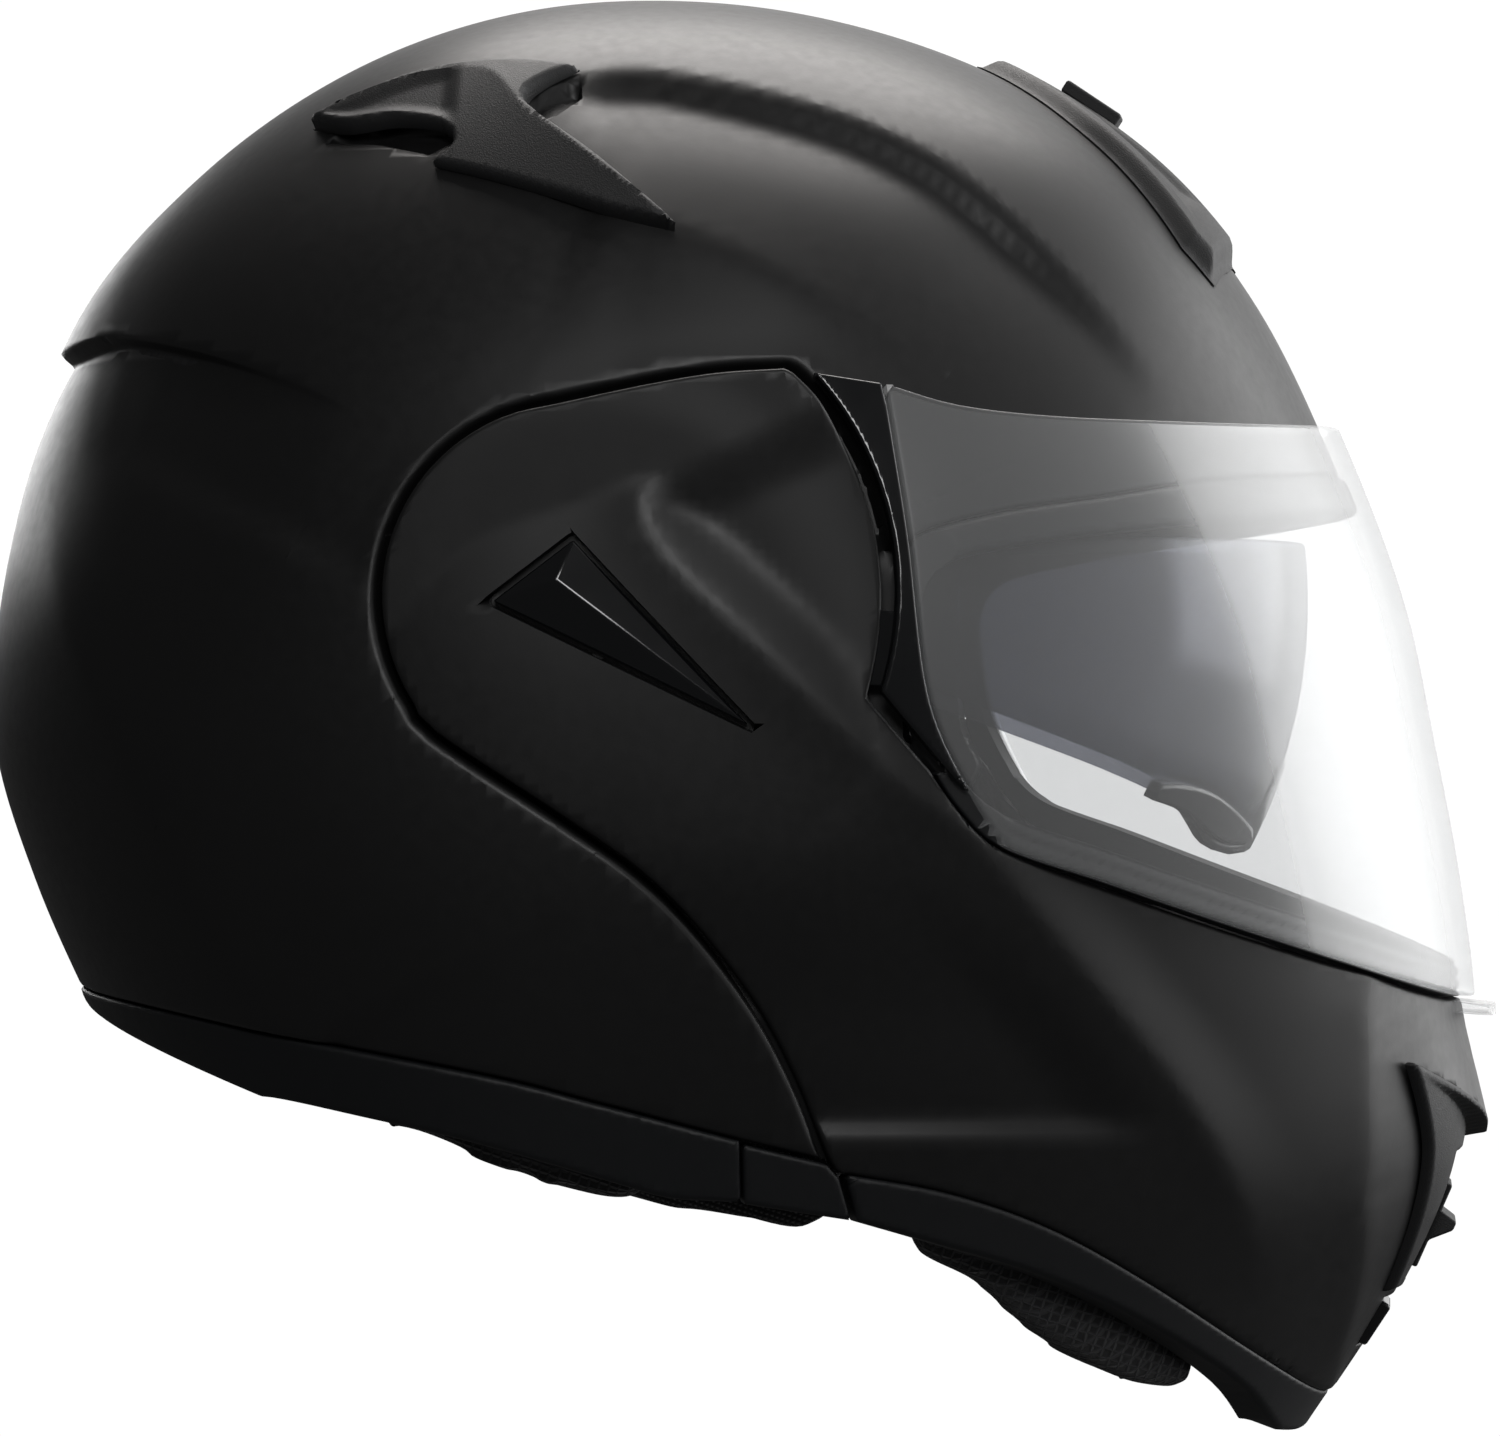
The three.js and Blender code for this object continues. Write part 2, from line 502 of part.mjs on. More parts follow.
const shutter = new THREE.Mesh(new THREE.ExtrudeGeometry(new THREE.Shape([
  new THREE.Vector2(-2, -9.5), new THREE.Vector2(0, -9.5), new THREE.Vector2(0, -3),
  new THREE.Vector2(4, 1), new THREE.Vector2(4, 3), new THREE.Vector2(0, 4),
  new THREE.Vector2(0, 10), new THREE.Vector2(-2, 10)]),
{ depth: 22, bevelEnabled: false }), new THREE.MeshStandardMaterial(finishes.vent));
shutter.geometry.rotateX(Math.PI / 2);
shutter.geometry.translate(0, 11, 0);
shutter.name = 'chin_vent_shutter';
shutter.position.copy(SHUTTER_SEAT);
shutter.rotation.y = SHUTTER_TILT;
wearer.add(shutter);

add('release_button', 'gloss', chinBlock(4.4, 2, 24, 10.4));
for (const [tag, side] of [['left', 1], ['right', -1]]) {
  const hook = [[66, -96], [74, -96], [76, -108], [70, -116], [58, -117], [57, -111.5],
    [64, -111], [67, -107]];
  add(`latch_hook_${tag}`, 'steel', onSide(hook, side, 82, 85.2));
}

// ---------------------------------------------------------------- face shield

const sill = lifted(EYE_PORT_SILL.slice(1), 0.6);
const lensOutline = [...SHIELD_TOP, ...sill.toReversed(), ...SHIELD_REAR.toReversed()];
const fingerTab = across([[176, -84.6], [189.9, -86.4], [189.9, -89.2], [176, -90.4]], -13, 13);
add('visor_lens', 'lens', layer(-4, -1.5).intersect(across(lensOutline))
  .add(fingerTab.subtract(skin(-1.5))));

const armStrip = [
  ...arc(EAR_FRONT_RADIUS + 1.2, -17.5, 43, 5),
  [61.6, 42.6],
  ...SHIELD_REAR.map(([x, z]) => [x - GAP - 0.1, z]),
  [76.5, -37.3],
];
for (const [tag, side] of [['left', 1], ['right', -1]]) {
  const plate = rod(CENTRE, 26, side, ARM_INNER_Y, ARM_OUTER_Y, 24)
    .add(onSide([[0, 6], [66.8, -3.5], [64.2, -18.6], [0, -16]], side, ARM_INNER_Y, ARM_OUTER_Y));
  const web = onSide([...arc(EAR_FRONT_RADIUS + 1.2, -16.5, -4, 2),
    ...arc(EAR_FRONT_RADIUS + 3.1, -4, -16.5, 2)], side, ARM_INNER_Y, 119);
  const strip = layer(-4, -1.6).intersect(onSide(armStrip, side, 40));
  add(`visor_arm_${tag}`, 'gloss', join(plate, strip, web)
    .subtract(rod(CENTRE, PIVOT_HOLE, side, 100, 130)));
}

// ---------------------------------------------------------------- standing on the table

wearer.rotation.y = -STAND_PITCH;
wearer.updateMatrixWorld(true);
const box = new THREE.Box3().setFromObject(wearer, true);
wearer.position.set(-(box.min.x + box.max.x) / 2, 0, -box.min.z);

const helmet = new THREE.Group();
helmet.name = 'flip_up_helmet';
helmet.add(wearer);

export default helmet;
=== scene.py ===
import json
import math

import bmesh
import bpy
import numpy as np
from mathutils import Matrix

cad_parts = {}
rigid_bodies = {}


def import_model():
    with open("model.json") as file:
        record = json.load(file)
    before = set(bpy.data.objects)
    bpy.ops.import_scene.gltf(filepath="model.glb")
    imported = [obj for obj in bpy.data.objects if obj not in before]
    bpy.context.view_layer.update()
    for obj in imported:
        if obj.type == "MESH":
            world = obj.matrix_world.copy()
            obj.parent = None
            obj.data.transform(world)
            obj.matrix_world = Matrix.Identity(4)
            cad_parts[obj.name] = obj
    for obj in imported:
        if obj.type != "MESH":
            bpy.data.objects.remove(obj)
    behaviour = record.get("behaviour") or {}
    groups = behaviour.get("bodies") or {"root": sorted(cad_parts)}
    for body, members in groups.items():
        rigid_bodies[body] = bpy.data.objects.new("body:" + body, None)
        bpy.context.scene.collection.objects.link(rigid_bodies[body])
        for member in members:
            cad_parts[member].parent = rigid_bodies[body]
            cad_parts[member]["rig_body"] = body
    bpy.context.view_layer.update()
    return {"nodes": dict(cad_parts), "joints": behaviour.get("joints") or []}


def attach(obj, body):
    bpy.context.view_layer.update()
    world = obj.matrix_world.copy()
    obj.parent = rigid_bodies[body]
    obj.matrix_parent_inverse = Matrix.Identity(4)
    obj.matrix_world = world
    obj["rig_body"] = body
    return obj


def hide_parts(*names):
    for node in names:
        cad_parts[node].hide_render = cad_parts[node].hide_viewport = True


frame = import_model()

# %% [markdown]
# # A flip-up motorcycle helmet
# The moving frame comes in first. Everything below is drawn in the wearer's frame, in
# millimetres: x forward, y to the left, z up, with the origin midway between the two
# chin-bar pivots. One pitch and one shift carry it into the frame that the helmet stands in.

MM = 0.001
PITCH = math.radians(-19.3)
hinge = next(j for j in frame["joints"] if j["name"] == "chin_bar_hinge")
PIVOT = np.array(hinge["pos_m"])


def to_stand(points):
    """Wearer's millimetres to metres on the table: turned by the pitch about y, then moved
    so that the origin lies on the chin-bar pivot."""
    x, y, z = np.moveaxis(np.asarray(points, float), -1, 0)
    turned = [x * math.cos(PITCH) + z * math.sin(PITCH), y,
              z * math.cos(PITCH) - x * math.sin(PITCH)]
    return np.stack(turned, -1) * MM + PIVOT


# %% [markdown]
# The camera stands square to the wearer's right side, five degrees round towards the front,
# far enough off that the near and the far side of the helmet keep their true proportions.
# It is rolled with the helmet's pitch, so that the wearer's up is the picture's up.

# %% Camera
AIM = np.array([26.1, 0.0, -25.0])
SWING = math.radians(5.0)
DISTANCE = 1600.0
VIEW_WIDTH = 330.0
SENSOR = 36.0


def look_along(eye, target, up):
    """A turn whose -z points from eye to target and whose y is as near to up as it can be:
    the three axes are crossed from those two directions."""
    back = np.array(eye, float) - target
    back /= np.linalg.norm(back)
    right = np.cross(up, back)
    right /= np.linalg.norm(right)
    return np.stack([right, np.cross(back, right), back], 1)


eye = AIM - DISTANCE * np.array([-math.sin(SWING), math.cos(SWING), 0.0])
place = to_stand([eye, AIM, AIM + [0, 0, 100]])
camera_data = bpy.data.cameras.new("camera")
camera_data.sensor_width = SENSOR
camera_data.lens = SENSOR * DISTANCE / VIEW_WIDTH
camera_data.clip_end = 50
camera = bpy.data.objects.new("camera", camera_data)
bpy.context.scene.collection.objects.link(camera)
matrix = np.eye(4)
matrix[:3, :3] = look_along(place[0], place[1], place[2] - place[1])
matrix[:3, 3] = place[0]
camera.matrix_world = Matrix(matrix.tolist())
bpy.context.scene.camera = camera
print("camera at", place[0].round(3), "lens", round(camera_data.lens, 1))

# %% [markdown]
# A black helmet shows its form only by what it mirrors. The studio is a white floor and a
# white surround that the camera sees, but that lights the helmet only weakly. Large soft
# boxes over the crown, before the brow, behind the neck and high at the side draw the broad
# grey highlights.

# %% Studio
ROOM_GLOW = 0.05
BACKDROP_GLOW = 0.85
FLOOR_GLOW = 0.05
WHITE = 1.03
BRIGHT_WAY = (0.76, 0.62, 0.2)


def node_tree(material):
    """A material's empty node tree with a helper that adds and sets a node."""
    material.use_nodes = True
    tree = material.node_tree
    tree.nodes.clear()

    def node(kind, **values):
        made = tree.nodes.new(kind)
        for key, value in values.items():
            if key in made.inputs.keys():
                made.inputs[key].default_value = value
            else:
                setattr(made, key, value)
        return made

    return tree, node


world = bpy.data.worlds.new("surround")
bpy.context.scene.world = world
tree, node = node_tree(world)
seen = node("ShaderNodeBackground", Color=(1, 1, 1, 1), Strength=WHITE)
glow = node("ShaderNodeBackground", Color=(1, 1, 1, 1))
path = node("ShaderNodeLightPath")
mix = node("ShaderNodeMixShader")
out = node("ShaderNodeOutputWorld")
way = node("ShaderNodeTexCoord")
part = node("ShaderNodeVectorMath", operation="DOT_PRODUCT")
part.inputs[1].default_value = BRIGHT_WAY
backdrop = node("ShaderNodeMapRange", interpolation_type="SMOOTHSTEP")
backdrop.inputs["From Min"].default_value = -0.35
backdrop.inputs["From Max"].default_value = 0.9
backdrop.inputs["To Min"].default_value = ROOM_GLOW
backdrop.inputs["To Max"].default_value = BACKDROP_GLOW
tree.links.new(way.outputs["Generated"], part.inputs[0])
tree.links.new(part.outputs["Value"], backdrop.inputs[0])
tree.links.new(backdrop.outputs[0], glow.inputs["Strength"])
tree.links.new(path.outputs["Is Camera Ray"], mix.inputs[0])
tree.links.new(glow.outputs[0], mix.inputs[1])
tree.links.new(seen.outputs[0], mix.inputs[2])
tree.links.new(mix.outputs[0], out.inputs[0])

floor_finish = bpy.data.materials.new("floor")
tree, node = node_tree(floor_finish)
seen = node("ShaderNodeEmission", Color=(1, 1, 1, 1), Strength=WHITE)
glow = node("ShaderNodeEmission", Color=(1, 1, 1, 1), Strength=FLOOR_GLOW)
path = node("ShaderNodeLightPath")
mix = node("ShaderNodeMixShader")
out = node("ShaderNodeOutputMaterial")
tree.links.new(path.outputs["Is Camera Ray"], mix.inputs[0])
tree.links.new(glow.outputs[0], mix.inputs[1])
tree.links.new(seen.outputs[0], mix.inputs[2])
tree.links.new(mix.outputs[0], out.inputs[0])
floor_mesh = bpy.data.meshes.new("floor")
floor_mesh.from_pydata([(-4, -4, 0), (4, -4, 0), (4, 4, 0), (-4, 4, 0)], [], [(0, 1, 2, 3)])
floor_mesh.materials.append(floor_finish)
floor = bpy.data.objects.new("floor", floor_mesh)
bpy.context.scene.collection.objects.link(floor)
bpy.context.scene.view_settings.view_transform = "Standard"


def soft_box(name, place_mm, aim_mm, size, watts, colour=(1, 1, 1)):
    """A square area lamp at a place in the wearer's frame, facing another."""
    light = bpy.data.lights.new(name, "AREA")
    light.shape = "RECTANGLE"
    light.size, light.size_y = size
    light.energy = watts
    light.color = colour
    at, to = to_stand([place_mm, aim_mm])
    lamp = bpy.data.objects.new(name, light)
    turn = np.eye(4)
    turn[:3, :3] = look_along(at, to, (0.1, 1.0, 0.2))
    turn[:3, 3] = at
    lamp.matrix_world = Matrix(turn.tolist())
    bpy.context.scene.collection.objects.link(lamp)
    return lamp


soft_box("top_box", (60, 420, 1080), (20, 0, 40), (0.9, 0.9), 14, (1.0, 0.965, 0.94))
soft_box("front_box", (1150, 420, 300), (60, 0, 0), (1.0, 1.2), 9)
soft_box("rear_box", (-820, 850, -20), (-60, 0, -20), (0.7, 1.0), 9)
soft_box("side_box", (200, -1850, 760), (20, -60, -20), (0.6, 0.5), 8)

# %% [markdown]
# The shell is a free form, so it is described by stations: at each latitude its foremost and
# rearmost points and its half width. Between the stations the lines run smoothly, and each
# ring is a superellipse, a little squarer than an ellipse. A depth below this skin gives
# every inner layer: trims stand proud of it, foam and cloth lie under it.

# %% The skin
CROWN_HEIGHT = 132.3
MIDDLE_X = 4.0
MEAN_REACH = 135.0
FRONT_POWER, REAR_POWER = 2.25, 2.35
STATIONS = np.array([
    [90, 4, 4, 0], [75, 44, -31, 35], [60, 82, -64, 66], [45, 114, -93.5, 89],
    [30, 136.5, -118, 105], [15, 152.5, -131.5, 115.5], [0, 165.5, -137.5, 121],
    [-13, 172, -138.5, 122], [-26, 177.6, -129.5, 120], [-39, 181, -116, 114.5],
    [-52, 179, -101, 107], [-65, 165.8, -86, 99], [-79, 145, -70, 91]], float)[::-1]
FINE_LATITUDES = np.linspace(STATIONS[0, 0], STATIONS[-1, 0], 1353)


def faired(knots, values, beyond, at):
    """A smooth line through knots: cubic pieces whose slope at each knot is that of the chord
    between its neighbours; beyond is the value one step past the last knot."""
    x = np.concatenate([[2 * knots[0] - knots[1]], knots, [2 * knots[-1] - knots[-2]]])
    y = np.concatenate([[2 * values[0] - values[1]], values, [beyond]])
    i = np.clip(np.searchsorted(knots, at, side="right") - 1, 0, len(knots) - 2)
    step = knots[i + 1] - knots[i]
    t = (at - knots[i]) / step
    slope0 = (y[i + 2] - y[i]) / (x[i + 2] - x[i]) * step
    slope1 = (y[i + 3] - y[i + 1]) / (x[i + 3] - x[i + 1]) * step
    return ((2 * t**3 - 3 * t**2 + 1) * values[i] + (t**3 - 2 * t**2 + t) * slope0
            + (3 * t**2 - 2 * t**3) * values[i + 1] + (t**3 - t**2) * slope1)


knots = STATIONS[:, 0]
ahead = STATIONS[:, 1] - MIDDLE_X
behind = MIDDLE_X - STATIONS[:, 2]
FRONT_REACH = faired(knots, ahead, -ahead[-2], FINE_LATITUDES)
REAR_REACH = faired(knots, behind, -behind[-2], FINE_LATITUDES)
HALF_WIDTH = faired(knots, STATIONS[:, 3], -STATIONS[-2, 3], FINE_LATITUDES)


def skin(azimuth, latitude, depth=0.0):
    """A point of the skin, depth mm below it. z is a sine of the latitude above the pivots and
    falls evenly below them; x and y are reach and half width times the cosine and sine of
    the azimuth, each to the power 2/n."""
    front = np.interp(latitude, FINE_LATITUDES, FRONT_REACH)
    rear = np.interp(latitude, FINE_LATITUDES, REAR_REACH)
    half = np.interp(latitude, FINE_LATITUDES, HALF_WIDTH)
    inward = depth * np.cos(np.radians(np.maximum(latitude, 0)))
    c, s = np.cos(azimuth), np.sin(azimuth)
    fore = c >= 0
    reach = np.maximum(np.where(fore, front, rear) - inward, 0)
    power = 2 / np.where(fore, FRONT_POWER, REAR_POWER)
    x = MIDDLE_X + reach * np.sign(c) * np.abs(c) ** power
    y = np.maximum(half - inward, 0) * np.sign(s) * np.abs(s) ** power
    rise = np.where(latitude > 0, (CROWN_HEIGHT - depth) * np.sin(np.radians(latitude)),
                    CROWN_HEIGHT * np.radians(latitude))
    return np.stack([x, y, rise], -1)


print("skin at the brow", skin(0.0, 20.0).round(1), "at the ear", skin(math.pi / 2, 0.0).round(1))

# %% [markdown]
# A panel starts as a fine sheet over the skin and is trimmed along its outline, as a moulded
# shell is trimmed on a jig. The outlines are drawn in the side view. To keep the edges crisp
# the sheet is split exactly along a line: corners close to the line move onto it, and sides
# that still cross it get a new corner there.

# %% Sheets and cuts
def sheet(azimuths, latitudes, step):
    """A grid over the skin, about step mm apart: [azimuth, latitude, triangles]."""
    across = max(int((azimuths[1] - azimuths[0]) * MEAN_REACH / step), 4)
    up = max(int(math.radians(latitudes[1] - latitudes[0]) * CROWN_HEIGHT / step), 4)
    u, v = np.meshgrid(np.linspace(*azimuths, across + 1), np.linspace(*latitudes, up + 1))
    corner = np.arange(up)[:, None] * (across + 1) + np.arange(across)
    a, b, c, d = (corner + k for k in (0, 1, across + 2, across + 1))
    tris = np.concatenate([np.stack([a, b, c], -1).reshape(-1, 3),
                           np.stack([a, c, d], -1).reshape(-1, 3)])
    return [u.ravel(), v.ravel(), tris]


def split(panel, field, keep=None, grip=0.3, surface=skin):
    """The sheet with an edge wherever field(azimuth, latitude) is zero. Corners within grip
    of the line slide onto it along the field's slope; a side that crosses it is divided in
    the ratio of its two values. keep drops the triangles on the other side (+1 or -1)."""
    u, v, tris = panel[0].copy(), panel[1].copy(), panel[2]
    value = field(u, v)
    near = np.flatnonzero(np.abs(value) < grip)
    if len(near):
        nu, nv, tiny = u[near], v[near], 1e-4
        here = surface(nu, nv)
        wide = np.linalg.norm(surface(nu + tiny, nv) - here, axis=-1) / tiny + 1e-6
        tall = np.linalg.norm(surface(nu, nv + tiny) - here, axis=-1) / tiny + 1e-6
        slope_u = (field(nu + tiny, nv) - value[near]) / tiny / wide
        slope_v = (field(nu, nv + tiny) - value[near]) / tiny / tall
        steep = slope_u**2 + slope_v**2
        can = steep > 0.15
        move = np.where(can, -value[near] / np.maximum(steep, 0.15), 0)
        u[near] += move * slope_u / wide
        v[near] += move * slope_v / tall
        value[near[can]] = 0
    sign = np.sign(value).astype(int)
    corners = sign[tris]
    crossing = corners * np.roll(corners, -1, 1) < 0
    count = crossing.sum(1)
    whole = tris[count == 0]
    side = np.sign(sign[whole].sum(1))
    flat = side == 0
    if flat.any():
        side[flat] = np.sign(field(u[whole[flat]].mean(1), v[whole[flat]].mean(1)))
    start = tris[count > 0].ravel()
    finish = np.roll(tris[count > 0], -1, 1).ravel()
    crossed = crossing[count > 0].ravel()
    key = np.minimum(start, finish) * len(u) + np.maximum(start, finish)
    unique = np.unique(key[crossed])
    low, high = unique // len(u), unique % len(u)
    t = value[low] / (value[low] - value[high])
    new_u = u[low] + t * (u[high] - u[low])
    new_v = v[low] + t * (v[high] - v[low])
    middle = np.where(crossed, len(u) + np.searchsorted(unique, key), -1).reshape(-1, 3)
    cut_tris, cut_corner = tris[count > 0], corners[count > 0]
    parts, sides = [whole], [side]
    for k in range(3):
        a, b, c = cut_tris[:, k], cut_tris[:, (k + 1) % 3], cut_tris[:, (k + 2) % 3]
        ab, bc, ca = middle[:, k], middle[:, (k + 1) % 3], middle[:, (k + 2) % 3]
        lone = (ab >= 0) & (ca >= 0)
        parts += [np.stack([a, ab, ca], 1)[lone], np.stack([ab, b, c], 1)[lone],
                  np.stack([ab, c, ca], 1)[lone]]
        mine, other = cut_corner[lone, k], cut_corner[lone, (k + 1) % 3]
        sides += [mine, other, other]
        through = (bc >= 0) & (ab < 0) & (ca < 0)
        parts += [np.stack([a, b, bc], 1)[through], np.stack([a, bc, c], 1)[through]]
        sides += [cut_corner[through, (k + 1) % 3], cut_corner[through, (k + 2) % 3]]
    tris = np.concatenate(parts)
    if keep is not None:
        tris = tris[np.concatenate(sides) == keep]
    u, v = np.concatenate([u, new_u]), np.concatenate([v, new_v])
    used, compact = np.unique(tris, return_inverse=True)
    return [u[used], v[used], compact.reshape(-1, 3)]


def faired_line(points, step=2.5, closed=False):
    """A smooth line through points, one every step mm: each stretch is the cubic whose end
    slopes are half the chord between the points on either side."""
    p = np.array(points, float)
    p = np.vstack([p[-1], p, p[:2]]) if closed else np.vstack([2 * p[0] - p[1], p, 2 * p[-1] - p[-2]])
    pieces = []
    for a, b, c, d in zip(p[:-3], p[1:-2], p[2:-1], p[3:]):
        t = np.linspace(0, 1, max(int(np.linalg.norm(c - b) / step), 2), endpoint=False)[:, None]
        pieces.append(b + t * (c - a) / 2 + t**2 * (2 * a - 5 * b + 4 * c - d) / 2
                      + t**3 * (3 * b - a - 3 * c + d) / 2)
    return np.vstack(pieces + ([] if closed else [p[-2]]))


def from_line(points, line):
    """Distance of each point to a line, the share of the line's length at the nearest place,
    and the side it is on (+1 to the left of the line's way)."""
    best = np.full(len(points), 1e9)
    share = np.zeros(len(points))
    side = np.ones(len(points))
    lengths = np.linalg.norm(np.diff(line, axis=0), axis=1)
    run = np.concatenate([[0], np.cumsum(lengths)])
    for i, (a, b) in enumerate(zip(line[:-1], line[1:])):
        way = b - a
        off = points - a
        t = np.clip((off @ way) / (way @ way + 1e-12), 0, 1)
        gap = off - t[:, None] * way
        d = np.einsum("ij,ij->i", gap, gap)
        nearer = d < best
        best[nearer] = d[nearer]
        share[nearer] = (run[i] + t[nearer] * lengths[i]) / run[-1]
        side[nearer] = np.sign(way[0] * off[nearer, 1] - way[1] * off[nearer, 0] + 1e-12)
    return np.sqrt(best), share, side


def inside(points, outline):
    """Distance to a closed outline, positive inside it: a point is inside when a ray from it
    crosses the outline an odd number of times."""
    loop = np.vstack([outline, outline[:1]])
    distance, _, _ = from_line(points, loop)
    odd = np.zeros(len(points), bool)
    for a, b in zip(loop[:-1], loop[1:]):
        spans = (a[1] > points[:, 1]) != (b[1] > points[:, 1])
        at = a[0] + (points[:, 1] - a[1]) * (b[0] - a[0]) / (b[1] - a[1] + 1e-12)
        odd ^= spans & (points[:, 0] < at)
    return np.where(odd, distance, -distance)


def side_field(outline, low=None, view="side", surface=skin):
    """A field over the sheet: the distance inside an outline in the side view (x, z), the
    front view (|y|, z) or the plan (x, |y|). low keeps it to |y| above that value."""
    outline = np.array(outline, float)

    def field(u, v):
        p = surface(u, v)
        p[:, 1] = np.abs(p[:, 1])
        flat = p[:, {"side": [0, 2], "front": [1, 2], "plan": [0, 1]}[view]]
        value = inside(flat, outline)
        return value if low is None else np.minimum(value, np.abs(p[:, 1]) - low)

    return field


def ramp(t):
    """0 below 0, 1 above 1, and 3t^2 - 2t^3 between."""
    t = np.clip(t, 0, 1)
    return t * t * (3 - 2 * t)


print("cuts ready")

# %% [markdown]
# Every panel is closed the same way: its outer face, the same sheet carried inwards for the
# inner face, and a band round the rim. The outer rim is rounded by sinking the face near the
# edge along a quarter circle, which gives the fine highlight that a moulded edge has.

# %% Walls
def add_piece(name, points, faces, material, body, slot, replaced=(), sharp=38):
    """A mesh of points in wearer's millimetres, riding on a body."""
    mesh = bpy.data.meshes.new(name)
    mesh.from_pydata(to_stand(points).tolist(), [], np.asarray(faces).tolist()
                     if isinstance(faces, np.ndarray) else faces)
    mesh.validate()
    return finish_piece(name, mesh, material, body, replaced, sharp)


def finish_piece(name, mesh, material, body, replaced=(), sharp=38, merge=2e-5):
    """Merges a mesh's doubles, turns its faces out, and hangs it on its body."""
    bm = bmesh.new()
    bm.from_mesh(mesh)
    bmesh.ops.remove_doubles(bm, verts=bm.verts, dist=merge)
    bmesh.ops.dissolve_degenerate(bm, edges=bm.edges, dist=merge / 2)
    bmesh.ops.recalc_face_normals(bm, faces=bm.faces)
    bm.to_mesh(mesh)
    bm.free()
    mesh.materials.clear()
    mesh.materials.append(material)
    mesh.shade_smooth()
    mesh.set_sharp_from_angle(angle=math.radians(sharp))
    piece = bpy.data.objects.new(name, mesh)
    bpy.context.scene.collection.objects.link(piece)
    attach(piece, body)
    if replaced:
        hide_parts(*replaced)
    print(name, len(mesh.polygons), "faces")
    return piece


def rounded(distance, radius):
    """How far a rounded edge has sunk at a distance from the rim: r - sqrt(r^2 - (r - d)^2)."""
    near = np.clip(radius - np.maximum(distance, 0), 0, radius)
    return radius - np.sqrt(radius**2 - near**2)


def walled(outer, inner, tris):
    """Outer and inner faces of a wall, joined by a band along every side used only once."""
    n = len(outer)
    sides = np.concatenate([tris[:, [0, 1]], tris[:, [1, 2]], tris[:, [2, 0]]])
    key = np.sort(sides, 1) @ np.array([n, 1])
    _, first, count = np.unique(key, return_index=True, return_counts=True)
    rim = sides[first[count == 1]]
    band = np.concatenate([np.stack([rim[:, 1], rim[:, 0], rim[:, 0] + n], 1),
                           np.stack([rim[:, 1], rim[:, 0] + n, rim[:, 1] + n], 1)])
    return np.vstack([outer, inner]), np.concatenate([tris, tris[:, ::-1] + n, band])


ROUNDING = (0.12, 0.45, 1.0)
PANEL_SHARP = 70


def panel_shape(region, azimuths, latitudes, step, outer, inner, round_by=0.8, shape=None, lines=(),
                mirrored=True, surface=skin):
    """A trimmed wall between depths outer and inner, as points and triangles. region is the
    field that is positive on the panel, shape moves the outer points, lines are more fields
    to keep crisp, and a mirrored panel is made on both sides of the helmet."""
    spans = [azimuths, (-azimuths[1], -azimuths[0])] if mirrored else [azimuths]
    points, faces, offset = [], [], 0
    for span in spans:
        face = split(sheet(span, latitudes, step), region, keep=1, surface=surface)
        for share in ROUNDING if round_by else ():
            face = split(face, lambda u, v, k=share * round_by: region(u, v) - k,
                         grip=0.03 * round_by, surface=surface)
        for line in lines:
            face = split(face, line, grip=getattr(line, "grip", 0.07), surface=surface)
        u, v, tris = face
        sink = rounded(region(u, v), round_by) if round_by else 0.0
        top = outer(u, v) if callable(outer) else np.full(len(u), float(outer))
        face_points = surface(u, v, top + sink)
        if shape:
            face_points = shape(face_points, u, v)
        under = inner(u, v) if callable(inner) else surface(u, v, inner)
        wall_points, wall_faces = walled(face_points, under, tris)
        points.append(wall_points)
        faces.append(wall_faces + offset)
        offset += len(wall_points)
    return np.vstack(points), np.concatenate(faces)


def panel(name, region, azimuths, latitudes, step, outer, inner, material, body, slot,
          replaced=(), round_by=0.8, shape=None, lines=(), mirrored=True, even=True, surface=skin):
    """A panel_shape made into a piece; even shading lets its larger faces lead the smaller."""
    points, faces = panel_shape(region, azimuths, latitudes, step, outer, inner, round_by, shape,
                                lines, mirrored, surface)
    piece = add_piece(name, points, faces, material, body, slot, replaced, PANEL_SHARP)
    if even:
        piece.modifiers.new("even_shading", "WEIGHTED_NORMAL").keep_sharp = True
    return piece


def softened(node_name, material, body, width=0.4, segments=2, merge=2e-5):
    """A copy of a machined piece with its flat faces joined up and its edges rounded."""
    source = frame["nodes"][node_name]
    bm = bmesh.new()
    bm.from_mesh(source.data)
    bmesh.ops.remove_doubles(bm, verts=bm.verts, dist=merge)
    bmesh.ops.dissolve_limit(bm, angle_limit=math.radians(3), verts=bm.verts, edges=bm.edges)
    mesh = bpy.data.meshes.new(node_name + "_fine")
    bm.to_mesh(mesh)
    bm.free()
    piece = finish_piece(node_name + "_fine", mesh, material, body, (node_name,), 50)
    bevel = piece.modifiers.new("edges", "BEVEL")
    bevel.width = width * MM
    bevel.segments = segments
    bevel.limit_method = "ANGLE"
    bevel.angle_limit = math.radians(25)
    bevel.harden_normals = True
    return piece


print("walls ready")

# %% [markdown]
# The finishes. Satin paint on a helmet is nearly black, with a fine orange-peel that breaks
# up the highlights. Moulded vents are grained and greyer, rubber trims are slightly blue,
# and the caps and the visor arms are glossy. Each one is a small node tree: a base colour
# varied by noise, a roughness varied by another, and a bump at the scale of the real grain.

